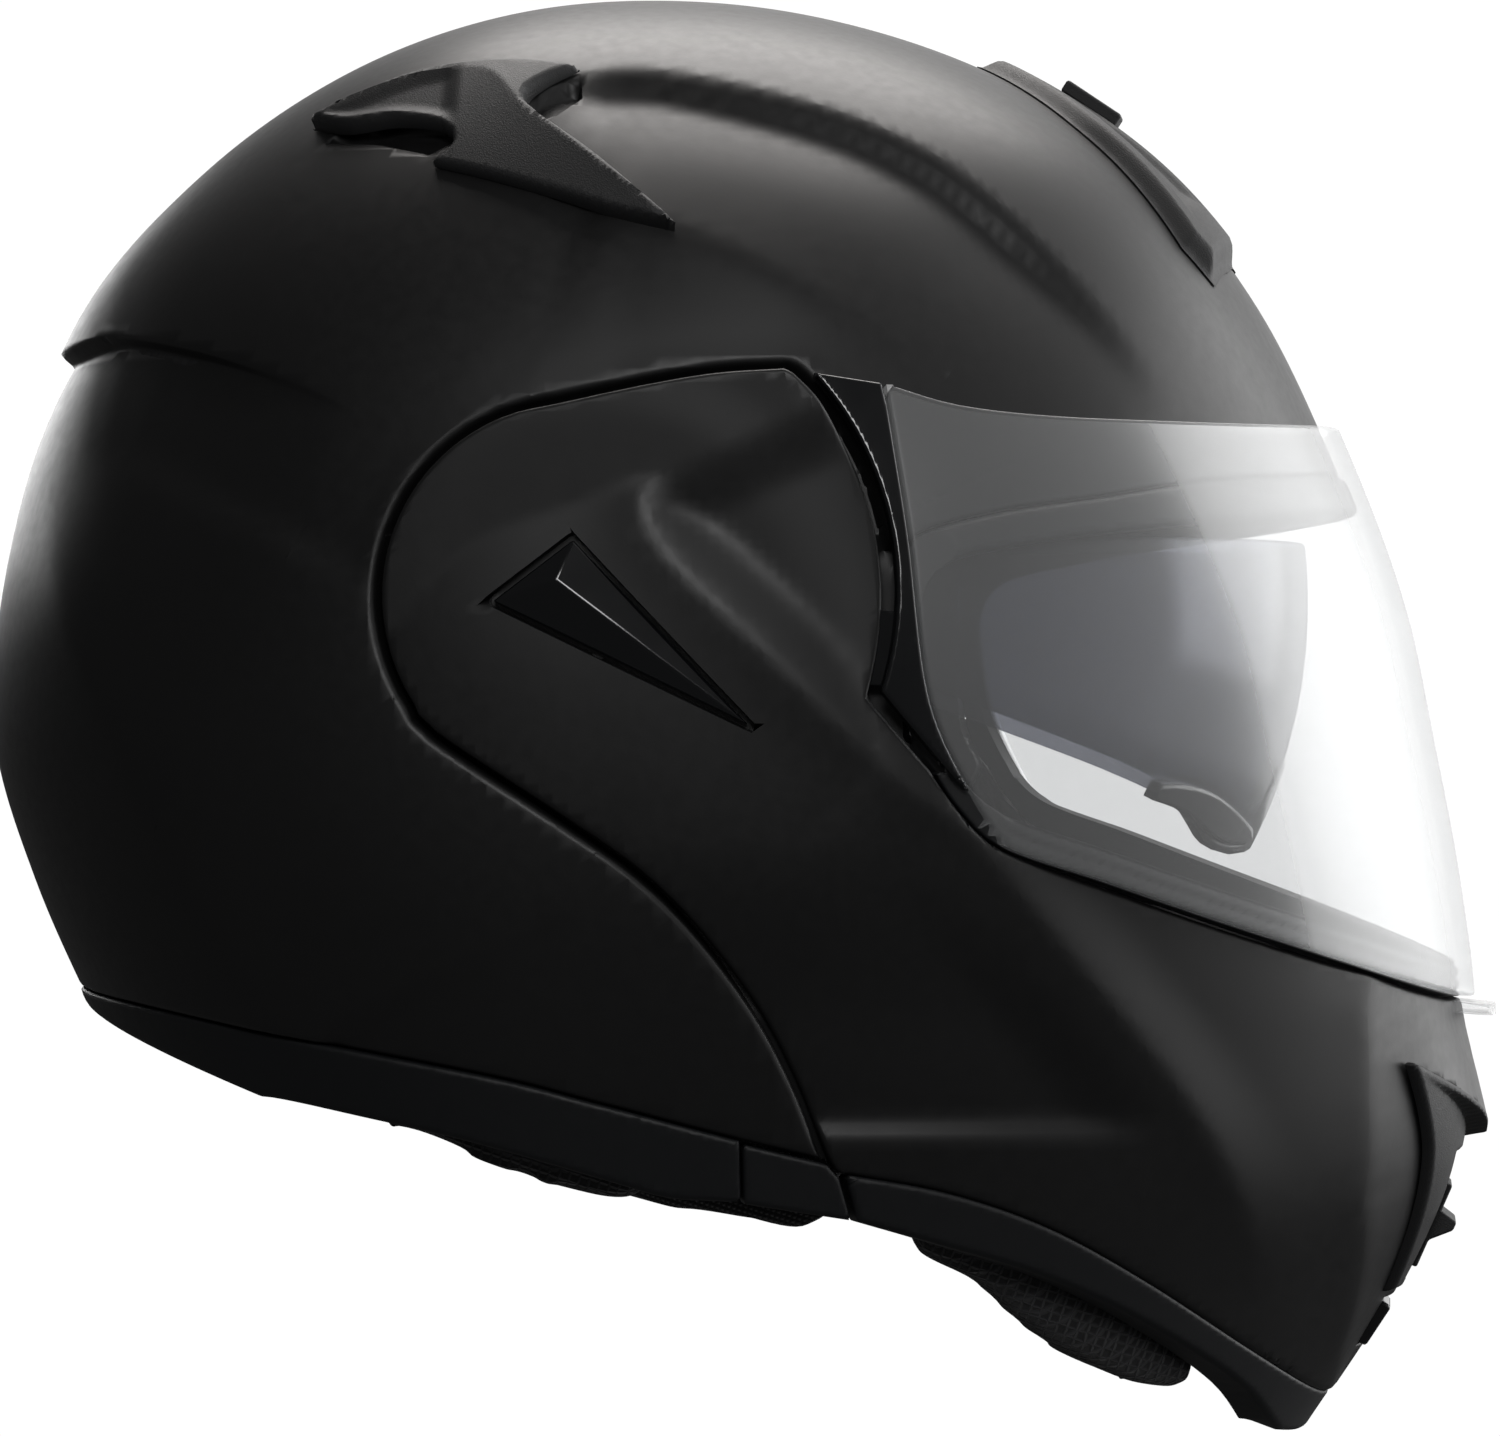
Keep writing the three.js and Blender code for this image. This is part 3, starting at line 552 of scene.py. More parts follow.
# %% Plastics, paint and rubber
def finish(name, colour, rough, spread=0.15, grain=900.0, bump=0.05, depth=0.0002, coat=0.0,
           rough_spread=0.06, metallic=0.0, specular=0.5, pattern="NOISE"):
    """Principled paint or plastic: colour times 1 +- spread over broad noise, roughness +- a
    little over finer noise, and a bump from grain-sized noise or cells."""
    material = bpy.data.materials.new(name)
    tree, node = node_tree(material)
    link = tree.links.new
    place = node("ShaderNodeTexCoord")
    broad = node("ShaderNodeTexNoise", Scale=34.0, Detail=3.0)
    tint = node("ShaderNodeMapRange")
    tint.inputs["To Min"].default_value = 1 - spread
    tint.inputs["To Max"].default_value = 1 + spread
    shade = node("ShaderNodeVectorMath", operation="SCALE")
    shade.inputs[0].default_value = colour
    fine = node("ShaderNodeTexNoise", Scale=grain / 4, Detail=2.0)
    rougher = node("ShaderNodeMapRange")
    rougher.inputs["To Min"].default_value = rough - rough_spread
    rougher.inputs["To Max"].default_value = rough + rough_spread
    if pattern == "NOISE":
        texture = node("ShaderNodeTexNoise", Scale=grain, Detail=2.0)
        height = texture.outputs[0]
    else:
        texture = node("ShaderNodeTexVoronoi", Scale=grain)
        height = texture.outputs["Distance"]
    relief = node("ShaderNodeBump", Strength=bump, Distance=depth)
    shader = node("ShaderNodeBsdfPrincipled")
    shader.inputs["Metallic"].default_value = metallic
    shader.inputs["Specular IOR Level"].default_value = specular
    shader.inputs["Coat Weight"].default_value = coat
    shader.inputs["Coat Roughness"].default_value = 0.08
    out = node("ShaderNodeOutputMaterial")
    for texture_node in (broad, fine, texture):
        link(place.outputs["Object"], texture_node.inputs["Vector"])
    link(broad.outputs[0], tint.inputs[0])
    link(tint.outputs[0], shade.inputs["Scale"])
    link(shade.outputs[0], shader.inputs["Base Color"])
    link(fine.outputs[0], rougher.inputs[0])
    link(rougher.outputs[0], shader.inputs["Roughness"])
    link(height, relief.inputs["Height"])
    link(relief.outputs[0], shader.inputs["Normal"])
    link(shader.outputs[0], out.inputs[0])
    material.diffuse_color = (*colour, 1)
    return material


paint = finish("satin_black_paint", (0.0095, 0.0095, 0.0098), 0.41, grain=1500, bump=0.10,
               depth=0.00008)
rubber = finish("trim_rubber", (0.0075, 0.0082, 0.0095), 0.52, grain=1300, bump=0.15,
                depth=0.0001)
grained = finish("grained_vent_plastic", (0.0145, 0.0147, 0.0155), 0.55, grain=3000, bump=0.5,
                 depth=0.00009, pattern="CELLS")
gloss_black = finish("gloss_black_plastic", (0.007, 0.0075, 0.0085), 0.16, grain=700,
                     bump=0.02, depth=0.0001, coat=0.5, rough_spread=0.03)
foam_black = finish("expanded_foam", (0.012, 0.012, 0.013), 0.85, grain=420, bump=0.9,
                    depth=0.0006, pattern="CELLS")
steel = finish("plated_steel", (0.36, 0.37, 0.39), 0.33, grain=1600, bump=0.1, depth=0.00006,
               metallic=1.0)
print("plastics", [m.name for m in bpy.data.materials])

# %% [markdown]
# Clear and smoked visors are thin moulded polycarbonate. Real refraction through two such
# thin walls adds noise and no form, so each is a mirror-like surface over a see-through one,
# stronger at grazing angles as Fresnel gives it, with a faint grey body.

# %% Visor finishes
def clear_sheet(name, tint, body, body_share, rough=0.02, ior=1.5, most=0.6, haze=1800.0):
    """See-through plastic: a body colour and a transparent tint in fixed shares, under a gloss
    whose share is the Fresnel term up to the most it may be; a faint noise keeps the body
    from being perfectly even."""
    material = bpy.data.materials.new(name)
    tree, node = node_tree(material)
    link = tree.links.new
    place = node("ShaderNodeTexCoord")
    specks = node("ShaderNodeTexNoise", Scale=haze, Detail=1.0)
    share = node("ShaderNodeMapRange")
    share.inputs["To Min"].default_value = body_share * 0.8
    share.inputs["To Max"].default_value = body_share * 1.2
    through = node("ShaderNodeBsdfTransparent", Color=(*tint, 1))
    milky = node("ShaderNodeBsdfDiffuse", Color=(*body, 1))
    inner = node("ShaderNodeMixShader")
    gloss = node("ShaderNodeBsdfGlossy", Color=(1, 1, 1, 1), Roughness=rough)
    fresnel = node("ShaderNodeFresnel", IOR=ior)
    capped = node("ShaderNodeMath", operation="MINIMUM")
    capped.inputs[1].default_value = most
    mix = node("ShaderNodeMixShader")
    out = node("ShaderNodeOutputMaterial")
    link(place.outputs["Object"], specks.inputs["Vector"])
    link(specks.outputs[0], share.inputs[0])
    link(share.outputs[0], inner.inputs[0])
    link(through.outputs[0], inner.inputs[1])
    link(milky.outputs[0], inner.inputs[2])
    link(fresnel.outputs[0], capped.inputs[0])
    link(capped.outputs[0], mix.inputs[0])
    link(inner.outputs[0], mix.inputs[1])
    link(gloss.outputs[0], mix.inputs[2])
    link(mix.outputs[0], out.inputs[0])
    material.diffuse_color = (*tint, 0.4)
    return material


clear_lens = clear_sheet("clear_visor", (0.975, 0.978, 0.98), (0.93, 0.94, 0.95), 0.085,
                         rough=0.38, ior=1.4, most=0.24)
lens_edge = clear_sheet("visor_cut_edge", (0.9, 0.91, 0.92), (0.95, 0.95, 0.95), 0.55,
                        rough=0.2, ior=1.45, most=0.3)
smoke_lens = clear_sheet("smoked_visor", (0.43, 0.44, 0.48), (0.2, 0.21, 0.24), 0.07,
                         rough=0.16, ior=1.45, most=0.3)
print("visor finishes ready")

# %% [markdown]
# Cloth: the comfort liner is a brushed knit, the neck roll and the curtain are covered with a
# hexagonal spacer mesh, and the chin strap is woven webbing. The weaves are drawn in object
# space, so they need no unwrapping and keep their size on every pad.

# %% Cloth finishes
def cloth(name, colour, cell, kind, rough=0.9, bump=0.8, depth=0.0006, sheen=0.25, hollow_shade=0.35):
    """Cloth as cells: 'HEX' darkens the middle of each round cell, 'KNIT' crosses two waves
    at right angles, 'WEBBING' makes broad ribs across a finer diagonal weave. The low parts of each
    weave are painted darker: painted shade in the hollows, and in the hexagon mesh also the darker
    layer seen through its holes."""
    material = bpy.data.materials.new(name)
    tree, node = node_tree(material)
    link = tree.links.new
    place = node("ShaderNodeTexCoord")
    shader = node("ShaderNodeBsdfPrincipled", Roughness=rough)
    shader.inputs["Sheen Weight"].default_value = sheen
    shader.inputs["Sheen Roughness"].default_value = 0.5
    shader.inputs["Specular IOR Level"].default_value = 0.25
    out = node("ShaderNodeOutputMaterial")
    if kind == "HEX":
        cells = node("ShaderNodeTexVoronoi", feature="DISTANCE_TO_EDGE", Scale=1 / cell,
                     Randomness=0.12)
        link(place.outputs["Object"], cells.inputs["Vector"])
        rib = node("ShaderNodeMapRange")
        rib.inputs["From Max"].default_value = 0.22
        rib.inputs["To Min"].default_value = 1.0
        rib.inputs["To Max"].default_value = 0.0
        link(cells.outputs["Distance"], rib.inputs[0])
        height = rib.outputs[0]
    else:
        first = node("ShaderNodeTexWave", Scale=1 / cell / 3, Distortion=0.6)
        second = node("ShaderNodeTexWave", Scale=1 / cell / 3, Distortion=0.6)
        first.bands_direction = "X" if kind == "KNIT" else "DIAGONAL"
        second.bands_direction = "Z" if kind == "KNIT" else "Y"
        link(place.outputs["Object"], first.inputs["Vector"])
        link(place.outputs["Object"], second.inputs["Vector"])
        product = node("ShaderNodeMath", operation="MULTIPLY")
        link(first.outputs["Fac"], product.inputs[0])
        link(second.outputs["Fac"], product.inputs[1])
        height = product.outputs[0]
    worn = node("ShaderNodeTexNoise", Scale=60.0, Detail=4.0)
    link(place.outputs["Object"], worn.inputs["Vector"])
    # The low parts of the weave, where the bump sinks, get a darker copy of the colour: painted shade
    # in the hollows of knit and webbing, and in the hexagon mesh painted shade together with the darker
    # layer seen through its holes.
    blend = node("ShaderNodeMix", data_type="RGBA")
    blend.inputs[6].default_value = (*[c * hollow_shade for c in colour], 1)
    blend.inputs[7].default_value = (*colour, 1)
    shade = node("ShaderNodeMix", data_type="RGBA", blend_type="MULTIPLY")
    shade.inputs[0].default_value = 0.35
    relief = node("ShaderNodeBump", Strength=bump, Distance=depth)
    link(height, blend.inputs[0])
    link(blend.outputs[2], shade.inputs[6])
    link(worn.outputs[0], shade.inputs[7])
    link(shade.outputs[2], shader.inputs["Base Color"])
    link(height, relief.inputs["Height"])
    link(relief.outputs[0], shader.inputs["Normal"])
    link(shader.outputs[0], out.inputs[0])
    material.diffuse_color = (*colour, 1)
    return material


knit = cloth("brushed_knit", (0.030, 0.030, 0.033), 0.0012, "KNIT")
hex_mesh = cloth("hexagon_mesh", (0.06, 0.06, 0.064), 0.0021, "HEX", rough=0.75)
webbing = cloth("woven_webbing", (0.022, 0.022, 0.025), 0.0016, "WEBBING", rough=0.7)
print("cloths ready")

# %% [markdown]
# The outlines of the panels, seen from the side. The chin bar carries a round ear about the
# pivot; its front edge is a circle about the pivot too, so that the visor's arm can turn past
# it. Everything else meets along these lines.

# %% Outlines
def arc(radius, start, stop, step=2.0):
    """Points of a circle about the pivot, angles in degrees."""
    n = max(int(abs(math.radians(stop - start)) * radius / step), 2)
    t = np.radians(np.linspace(start, stop, n + 1))
    return np.stack([radius * np.cos(t), radius * np.sin(t)], -1)


def loop(*lines):
    """One closed outline from several lines laid end to end."""
    return np.vstack([np.asarray(line, float) for line in lines])


FAR = 260.0
GAP = 0.35
SILL = faired_line([[73, -35.6], [78.5, -44], [87, -52], [107, -59.2], [127.3, -66.6], [147.7, -73.8],
                    [168.4, -81.3], [200, -93]])
TRIM_TOP = faired_line([[54.8, -119], [76, -123.2], [96.3, -130.8], [116.5, -143], [137, -158.4],
                        [151.3, -170.2], [170, -186]])
TRIM_BOTTOM = faired_line([[57, -128.7], [74, -133.7], [94, -140.3], [114.4, -150.6],
                           [134.7, -165.7], [147, -184], [170, -200]])
SEAM_AND_EAR = faired_line(np.vstack([
    [[54, -119], [51.8, -115.7], [46, -100], [38.2, -84.6], [26.2, -68.2], [14, -56], [-2, -44.8]],
    arc(39.5, 225, 96, 7), [[15.7, 43.4], [30, 45.6], [43.6, 46.3]]]))
EAR_FRONT = arc(64, 45, -19)
BASE_TOP = faired_line([[-150, -80.5], [-106.5, -84.5], [-69.5, -89.8], [-19.8, -98.3],
                        [4.9, -104.3], [34.5, -112], [56, -117.2]])
BASE_BOTTOM = faired_line([[-150, -90], [-104, -97], [-80, -104], [-66, -104], [-44, -107.8],
                           [-24.5, -111.8], [-6.7, -116.5], [8, -120.8], [19, -123.8],
                           [33, -124.7], [56.6, -128.7]])
BROW = faired_line([[73.5, -35.5], [70, -30], [68.5, -22], [67.5, -5], [67.6, 6], [70.2, 12.6],
                    [86.8, 17.6], [106.8, 20.9], [127, 24.5], [153.5, 27.5], [190, 31.7]])
BROW_INNER = faired_line([[81, -39], [76.5, -31], [72.6, -22], [70.9, -9], [71.4, 0.2],
                          [77.2, 6.9], [94.9, 10.9], [108.5, 13.1], [147.4, 17.8], [190, 22.9]])
CHIN_BAR_EDGE = loop(SEAM_AND_EAR, EAR_FRONT, SILL, [[200, -212]], TRIM_TOP[::-1] + [0, GAP])
EYE_PORT_EDGE = loop(BROW, [[FAR, 40], [FAR, -FAR], [58.5, -FAR], [58.5, -117], [62, -60]])
BELOW_SHELL = loop(BASE_TOP + [0, GAP], [[58.5, -117], [58.5, -FAR], [-FAR, -FAR]])
print("chin bar outline", len(CHIN_BAR_EDGE), "points")

# %% [markdown]
# Creases. The shell's form is not only its stations: a raised middle panel runs over the
# crown with a sharp edge on each side, a spoiler lip crosses the back, and a vertical edge
# turns the side into the back. Each crease is a line in the side view with a profile across
# it, which fades out at the ends of the line.

# %% Crease helpers
def crease(points, profile, fade=(0.12, 0.12)):
    """A depth over the side view: profile(distance) across the line through points, positive
    on its left, times a fade from each end of the line."""
    line = faired_line(points, 4.0)

    def depth(p):
        distance, share, side = from_line(p[:, [0, 2]], line)
        ends = ramp(share / fade[0]) * ramp((1 - share) / fade[1])
        return profile(distance * side) * ends

    depth.line = line
    return depth


def on_crease(line, offset=0.0):
    """The field that is zero on a crease's line, or offset mm to its left, for a crisp edge.
    Past the line's ends it is a plain 50, so that the sheet isn't split there, and corners
    within its grip of half a millimetre slide onto the line."""

    def field(u, v):
        p = skin(u, v)
        distance, share, side = from_line(p[:, [0, 2]], line)
        return np.where((share > 0.001) & (share < 0.999), distance * side - offset, 50.0)

    field.grip = 0.5
    return field


def step_down(drop, quick, slow):
    """A scoop on one side of a line: falls by drop within quick mm, comes back over slow mm."""
    return lambda d: np.where(d > 0, drop * ramp(d / quick) * np.exp(-np.maximum(d, 0) / slow), 0.0)


def eased(d, radius=2.0):
    """The distance |d| with its corner at 0 rounded off: sqrt(d^2 + r^2) - r."""
    return np.sqrt(d * d + radius * radius) - radius


def ridge(height, width):
    """A crease that stands out: -height at the line, easing away on both sides over width."""
    return lambda d: -height * np.exp(-eased(d, 2.5) / width)


dome_edge = crease([(-12, 110.8), (-5.8, 111.1), (11, 112.4), (43, 105.1), (64.1, 97.1),
                    (80.9, 86.4), (104, 64.3), (118.8, 45.5), (122, 38)],
                   lambda d: step_down(4.6, 6.5, 24)(-d), (0.1, 0.35))
vent_tail = crease([(0, 82), (20.8, 74.6), (35, 68.9), (45.4, 63), (59.9, 54.7), (76, 43)],
                   ridge(1.7, 10), (0.1, 0.6))
spoiler = crease([(-150, 54.5), (-128, 54.2), (-118.2, 54.7), (-107.4, 56.6), (-97.9, 55.9),
                  (-77.9, 51.1), (-57.4, 43.8), (-45, 38)],
                 lambda d: step_down(4.2, 1.6, 30)(-d), (0.001, 0.45))
back_edge = crease([(-119, 26), (-117.6, 18.3), (-110.9, -2.7), (-94, -34.6), (-79.6, -62.7),
                    (-68.2, -83.4), (-60.5, -98)], ridge(2.6, 17), (0.25, 0.02))
side_fold = crease([(-112, 27), (-101.2, 27), (-90.6, 22.1), (-54.2, 5), (-40, -6)],
                   step_down(1.4, 8, 25), (0.2, 0.3))


def shell_relief(p):
    """All the creases of the shell together."""
    return dome_edge(p) + vent_tail(p) + spoiler(p) + back_edge(p) + side_fold(p)


print("creases ready")

# %% [markdown]
# The shell itself. It is one sheet from the trim line to the crown, trimmed by the eye port
# and by the rubber edge. The chin bar's ears lie in a recess, 4.5 mm deep, which is cut with a
# crisp wall so that a thin dark gap shows all round the chin bar.

# %% Shell
SHELL_WALL = 3.5
RECESS_DEPTH = 4.5
RECESS_Y = 109.5
RECESS_GAP = 1.5
SHELL_RIM = 0.9
PORT_SINK = 3.0
port = side_field(EYE_PORT_EDGE)
below = side_field(BELOW_SHELL)
chin_bar_field = side_field(CHIN_BAR_EDGE)


def shell_region(u, v):
    """Positive on the shell: outside the eye port and above the trim line."""
    return np.minimum(-port(u, v), -below(u, v))


arm_room = side_field([[40, -34], [40, 10], [69, 10], [69, -34]])


def recess(u, v):
    """Positive inside the recess that the chin bar and the visor's arms lie in."""
    return np.maximum(chin_bar_field(u, v) + RECESS_GAP, arm_room(u, v))


VENT_SLOT = [(-58.5, 96.4), (-56, 98.5), (-46, 101), (-32, 100.5), (-26, 97), (-33.6, 92.6),
             (-45.7, 95.4)]
VENT_NOTCH = [(-17, 104), (-9, 108), (-3.2, 110), (-2.6, 106.6), (-8.8, 99.8)]
rear_slot = side_field(VENT_SLOT, 30)
front_notch = side_field(VENT_NOTCH, 30)


def vent_ports(u, v):
    """Positive in the two openings that each rear vent covers."""
    return np.maximum(rear_slot(u, v), front_notch(u, v))


def shell_points(points, u, v):
    """Sinks the recess to its floor, and adds the creases and the vent ports outside it."""
    into = recess(u, v)
    plain = skin(u, v)
    relief = shell_relief(plain) * ramp(-into / 6) + PORT_SINK * ramp(vent_ports(u, v) / 1.2)
    roll = rounded(-into, 1.6)
    out = skin(u, v, relief + roll + rounded(shell_region(u, v), SHELL_RIM))
    floor = skin(u, v, RECESS_DEPTH)
    floor[:, 1] = np.clip(floor[:, 1], -RECESS_Y, RECESS_Y)
    out[into > 0.05] = floor[into > 0.05]
    return out


def shell_inside(u, v):
    """The inner face: a wall's thickness in, and flat behind the recess."""
    into = recess(u, v) + SHELL_WALL
    points = skin(u, v, np.where(into > 0, RECESS_DEPTH + 3, SHELL_WALL + 1.2))
    points[into > 0, 1] = np.clip(points[into > 0, 1], -RECESS_Y + 3, RECESS_Y - 3)
    return points


def level(field, height):
    """The field less a height, so that its zero is the line at that height."""
    return lambda u, v: field(u, v) - height


STEP = 2.7
SHELL_LINES = ([level(recess, h) for h in (0, 0.5, -0.2, -0.7, -1.6)]
               + [on_crease(spoiler.line, -h) for h in (0, 0.55, 1.1, 1.7)]
               + [on_crease(dome_edge.line, -h) for h in (0, 2.2, 4.4)]
               + [on_crease(back_edge.line), on_crease(vent_tail.line, 2.5)]
               + [level(vent_ports, h) for h in (0, 1.2)])
panel("shell", shell_region, (0, math.pi), (-79, 90), STEP, 0.0, shell_inside, paint, "shell",
      "shell", ("outer_shell",), SHELL_RIM, shell_points, SHELL_LINES, even=False)

# %% [markdown]
# The chin bar. Round the pivots it is a flat ear that stands proud of the shell, and ahead of
# them it follows the skin. A long ridge runs from the ear down to the chin; in front of it
# the surface is scooped towards the visor. A second edge frames the chin's front.

# %% Chin bar
EAR_Y = 118.2
EAR_INNER_Y = 115.4
CHIN_RIM = 1.1
LEAST_WALL = 1.6
POCKET_Y = 117.3
NOSE_HALF, NOSE_REACH, NOSE_TOP, NOSE_TIP, NOSE_STEP = 46.0, 6.0, -84.0, -113.0, 1.5
BUTTON_X, BUTTON_Z, BUTTON_SLOPE = 162.2, -155.8, (0.549, 0.836)
BUTTON_HALF_WIDTH, BUTTON_HALF_HEIGHT = 12.5, 5.7
chin_ridge = faired_line([(52, 46), (49.5, 40.2), (34.3, 32.7), (17.1, 23.7), (14.4, 17.1), (19.4, 7.7),
                          (38.9, -11.2), (67.1, -38.6), (79.1, -47.8), (99.1, -72.4), (123.1, -103.9),
                          (135.2, -127.5), (141, -152), (143, -166)], 4.0)
FRONT_FRAME = np.array([(0, -60), (57, -64), (60.5, -86.3), (58.5, -105.4), (53, -126.8),
                        (30.6, -160.4), (14, -172), (0, -174)], float)
EAR_EDGE = loop(SEAM_AND_EAR[len(SEAM_AND_EAR) // 3:], EAR_FRONT, [[80, -60], [30, -60]])


def nose_edge(p):
    """Height above the lower edge of the painted nose, which falls towards the middle."""
    return p[:, 2] - NOSE_TIP - np.abs(p[:, 1]) / 3


def nose_line(below=0.0):
    """The field that is zero on the nose's lower edge, or some mm below it."""
    return lambda u, v: nose_edge(skin(u, v)) + below


def nose(p):
    """How far the nose stands out over the vent: it grows down to its edge and steps back."""
    fall = NOSE_TOP - NOSE_TIP - np.abs(p[:, 1]) / 3 + 1e-3
    growth = np.clip((NOSE_TOP - p[:, 2]) / fall, 0, 1)**1.5
    size = NOSE_REACH * ramp((NOSE_HALF - np.abs(p[:, 1])) / 40) * (p[:, 0] > 120)
    return size * np.where(nose_edge(p) > 0, growth, ramp((nose_edge(p) + NOSE_STEP) / NOSE_STEP))


def button_hole(u, v):
    """Positive in the opening for the release button, which is square to the lower chin."""
    p = skin(u, v)
    along = (p[:, 0] - BUTTON_X) * BUTTON_SLOPE[0] + (p[:, 2] - BUTTON_Z) * BUTTON_SLOPE[1]
    hole = np.minimum(BUTTON_HALF_WIDTH - np.abs(p[:, 1]), BUTTON_HALF_HEIGHT - np.abs(along))
    return np.where(p[:, 0] > 120, hole, -50.0)


def chin_region(u, v):
    """Positive on the chin bar, less the opening for the release button."""
    return np.minimum(chin_bar_field(u, v), -button_hole(u, v))


def chin_points(points, u, v):
    """Lifts the ear to its flat face, cuts the scoop ahead of the ridge and the hollow under
    the ear, raises the ridge's lip and the frame round the chin, and adds the nose."""
    p = skin(u, v)
    flat = p[:, [0, 2]]
    edge = rounded(chin_region(u, v), CHIN_RIM)
    distance, share, side = from_line(flat, chin_ridge)
    ahead_of = distance * side
    scoop = 1.7 * ramp(ahead_of / 16) * ramp((0.93 - share) / 0.25)
    lip = -1.6 * np.exp(-eased(ahead_of) / 8) * ramp((0.97 - share) / 0.2)
    front = inside(np.stack([np.abs(p[:, 1]), p[:, 2]], -1), FRONT_FRAME)
    frame_edge = -1.6 * np.exp(-eased(front) / 7) * (p[:, 0] > 120)
    low = 2.2 * ramp((p[:, 2] + 112.5) / 6) * ramp((-50 - p[:, 2]) / 40) * ramp((-ahead_of - 5) / 15)
    out = skin(u, v, scoop + lip + frame_edge + low + edge)
    out[:, 0] += nose(p)
    ear = ramp((52 - np.hypot(p[:, 0] - 6, p[:, 2])) / 16)
    reach = ramp((84 - p[:, 0]) / 40) * ramp((p[:, 2] + 62) / 40)
    face = EAR_Y + 0.8 - 1.5 * ramp(ahead_of / 14) - 0.5 * (1 - ear) - edge
    lifted = np.maximum(np.abs(out[:, 1]), face * reach + np.abs(out[:, 1]) * (1 - reach))
    out[:, 1] = np.sign(p[:, 1]) * lifted
    return out


def chin_inside(u, v):
    """The inner face: flat behind the ear so that the visor's arm can turn behind it, and at
    least a thin wall away from the outer face."""
    p = skin(u, v, SHELL_WALL + 0.3)
    near = inside(skin(u, v)[:, [0, 2]], EAR_EDGE)
    flat = ramp((near + 4) / 4)
    wide = np.abs(p[:, 1]) * (1 - flat) + EAR_INNER_Y * flat
    outside = np.abs(chin_points(None, u, v)[:, 1]) - LEAST_WALL
    p[:, 1] = np.sign(p[:, 1]) * np.where(flat > 0, np.minimum(wide, outside), wide)
    return p


INSERT = np.array([[-16.8, -1], [0.1, 11.8], [37, -27]])
insert_field = side_field(INSERT, 100)
CHIN_STEP = 2.0


def chin_with_pocket(points, u, v):
    """The chin bar with a shallow pocket round the pivot cap."""
    out = chin_points(points, u, v)
    into = insert_field(u, v) + 1.0
    out[into > 0.02, 1] = np.sign(out[into > 0.02, 1]) * POCKET_Y
    return out


CHIN_LINES = ([on_crease(chin_ridge, h) for h in (0, -2.0, 2.0)]
              + [level(insert_field, h) for h in (-1.0, -1.0, -1.0, -0.6, -0.6)]
              + [side_field(FRONT_FRAME, view="front"), nose_line(), nose_line(NOSE_STEP)])
panel("chin_bar", chin_region, (0, 2.3), (-79, 26), CHIN_STEP, 0.0, chin_inside, paint,
      "chin_bar", "shell", ("chin_bar_shell",), CHIN_RIM, chin_with_pocket, CHIN_LINES, even=False)

# %% [markdown]
# Rubber edges close the shell and the chin bar at the neck, and seals line the eye port. They
# are separate mouldings that stand 0.8 mm proud of the paint. The helmet rests on two short
# lands of them, so they are cut flat where they meet the table.

# %% Trims and seals
REST_X, REST_Z = 144.6, -178.4


def above_table(p):
    """Height above the table that the helmet stands on, in the wearer's frame."""
    return (p[:, 2] - REST_Z) * math.cos(PITCH) - (p[:, 0] - REST_X) * math.sin(PITCH)


def trimmed(outline, *limits, surface=skin):
    """The field of an outline, cut short by the table and by any further limits on a point."""
    base = side_field(outline, surface=surface)

    def field(u, v):
        p = surface(u, v)
        values = [base(u, v)] + [limit(p) for limit in limits]
        return np.minimum.reduce(values)

    return field


def flat_bottom(points, u, v):
    """Keeps a trim's points from reaching below the table."""
    low = np.minimum(above_table(points), 0)
    points[:, 2] -= low / math.cos(PITCH)
    return points


def flat_inside(depth):
    """An inner face at a depth, kept above the table as well."""
    return lambda u, v: flat_bottom(skin(u, v, depth), u, v)


FINE = 1.25
PROUD = 0.8
TRIM_FRONT = 33.5
base_field = trimmed(loop(BASE_TOP, BASE_BOTTOM[::-1]), above_table, lambda p: TRIM_FRONT - p[:, 0])
panel("base_edge", base_field, (1.1, math.pi), (-62, -30), FINE * 1.3, -PROUD, flat_inside(6.5),
      rubber, "shell", "trim", ("base_trim",), 1.2, flat_bottom)
chin_trim_field = trimmed(loop(TRIM_TOP + [0, GAP], TRIM_BOTTOM[::-1]), above_table)
panel("chin_edge", chin_trim_field, (0, 1.5), (-79, -48), FINE, -PROUD, flat_inside(7.0),
      rubber, "chin_bar", "trim", ("chin_trim",), 1.2, flat_bottom)
COVER = [(33.9, -112.4), (51, -116.6), (53.6, -119.6), (55.9, -128.4), (33.9, -124.9)]
panel("latch_covers", side_field(COVER, 20), (0.9, 1.7), (-60, -44), FINE * 0.8, -PROUD, 8.5,
      rubber, "shell", "trim", ("latch_cover_left", "latch_cover_right"), 1.0)


def seal_ribs(points, u, v):
    """The port seal's long ribs: three grooves, each a raised cosine of the distance to the sill."""
    p = skin(u, v)
    distance, _, _ = from_line(p[:, [0, 2]], SILL)
    groove = 0.9 * ramp(1 - np.abs((distance % 2.6) - 1.3) / 0.9) * ramp((p[:, 0] - 84) / 6)
    return skin(u, v, groove - PROUD + rounded(port_seal_field(u, v), 0.5))


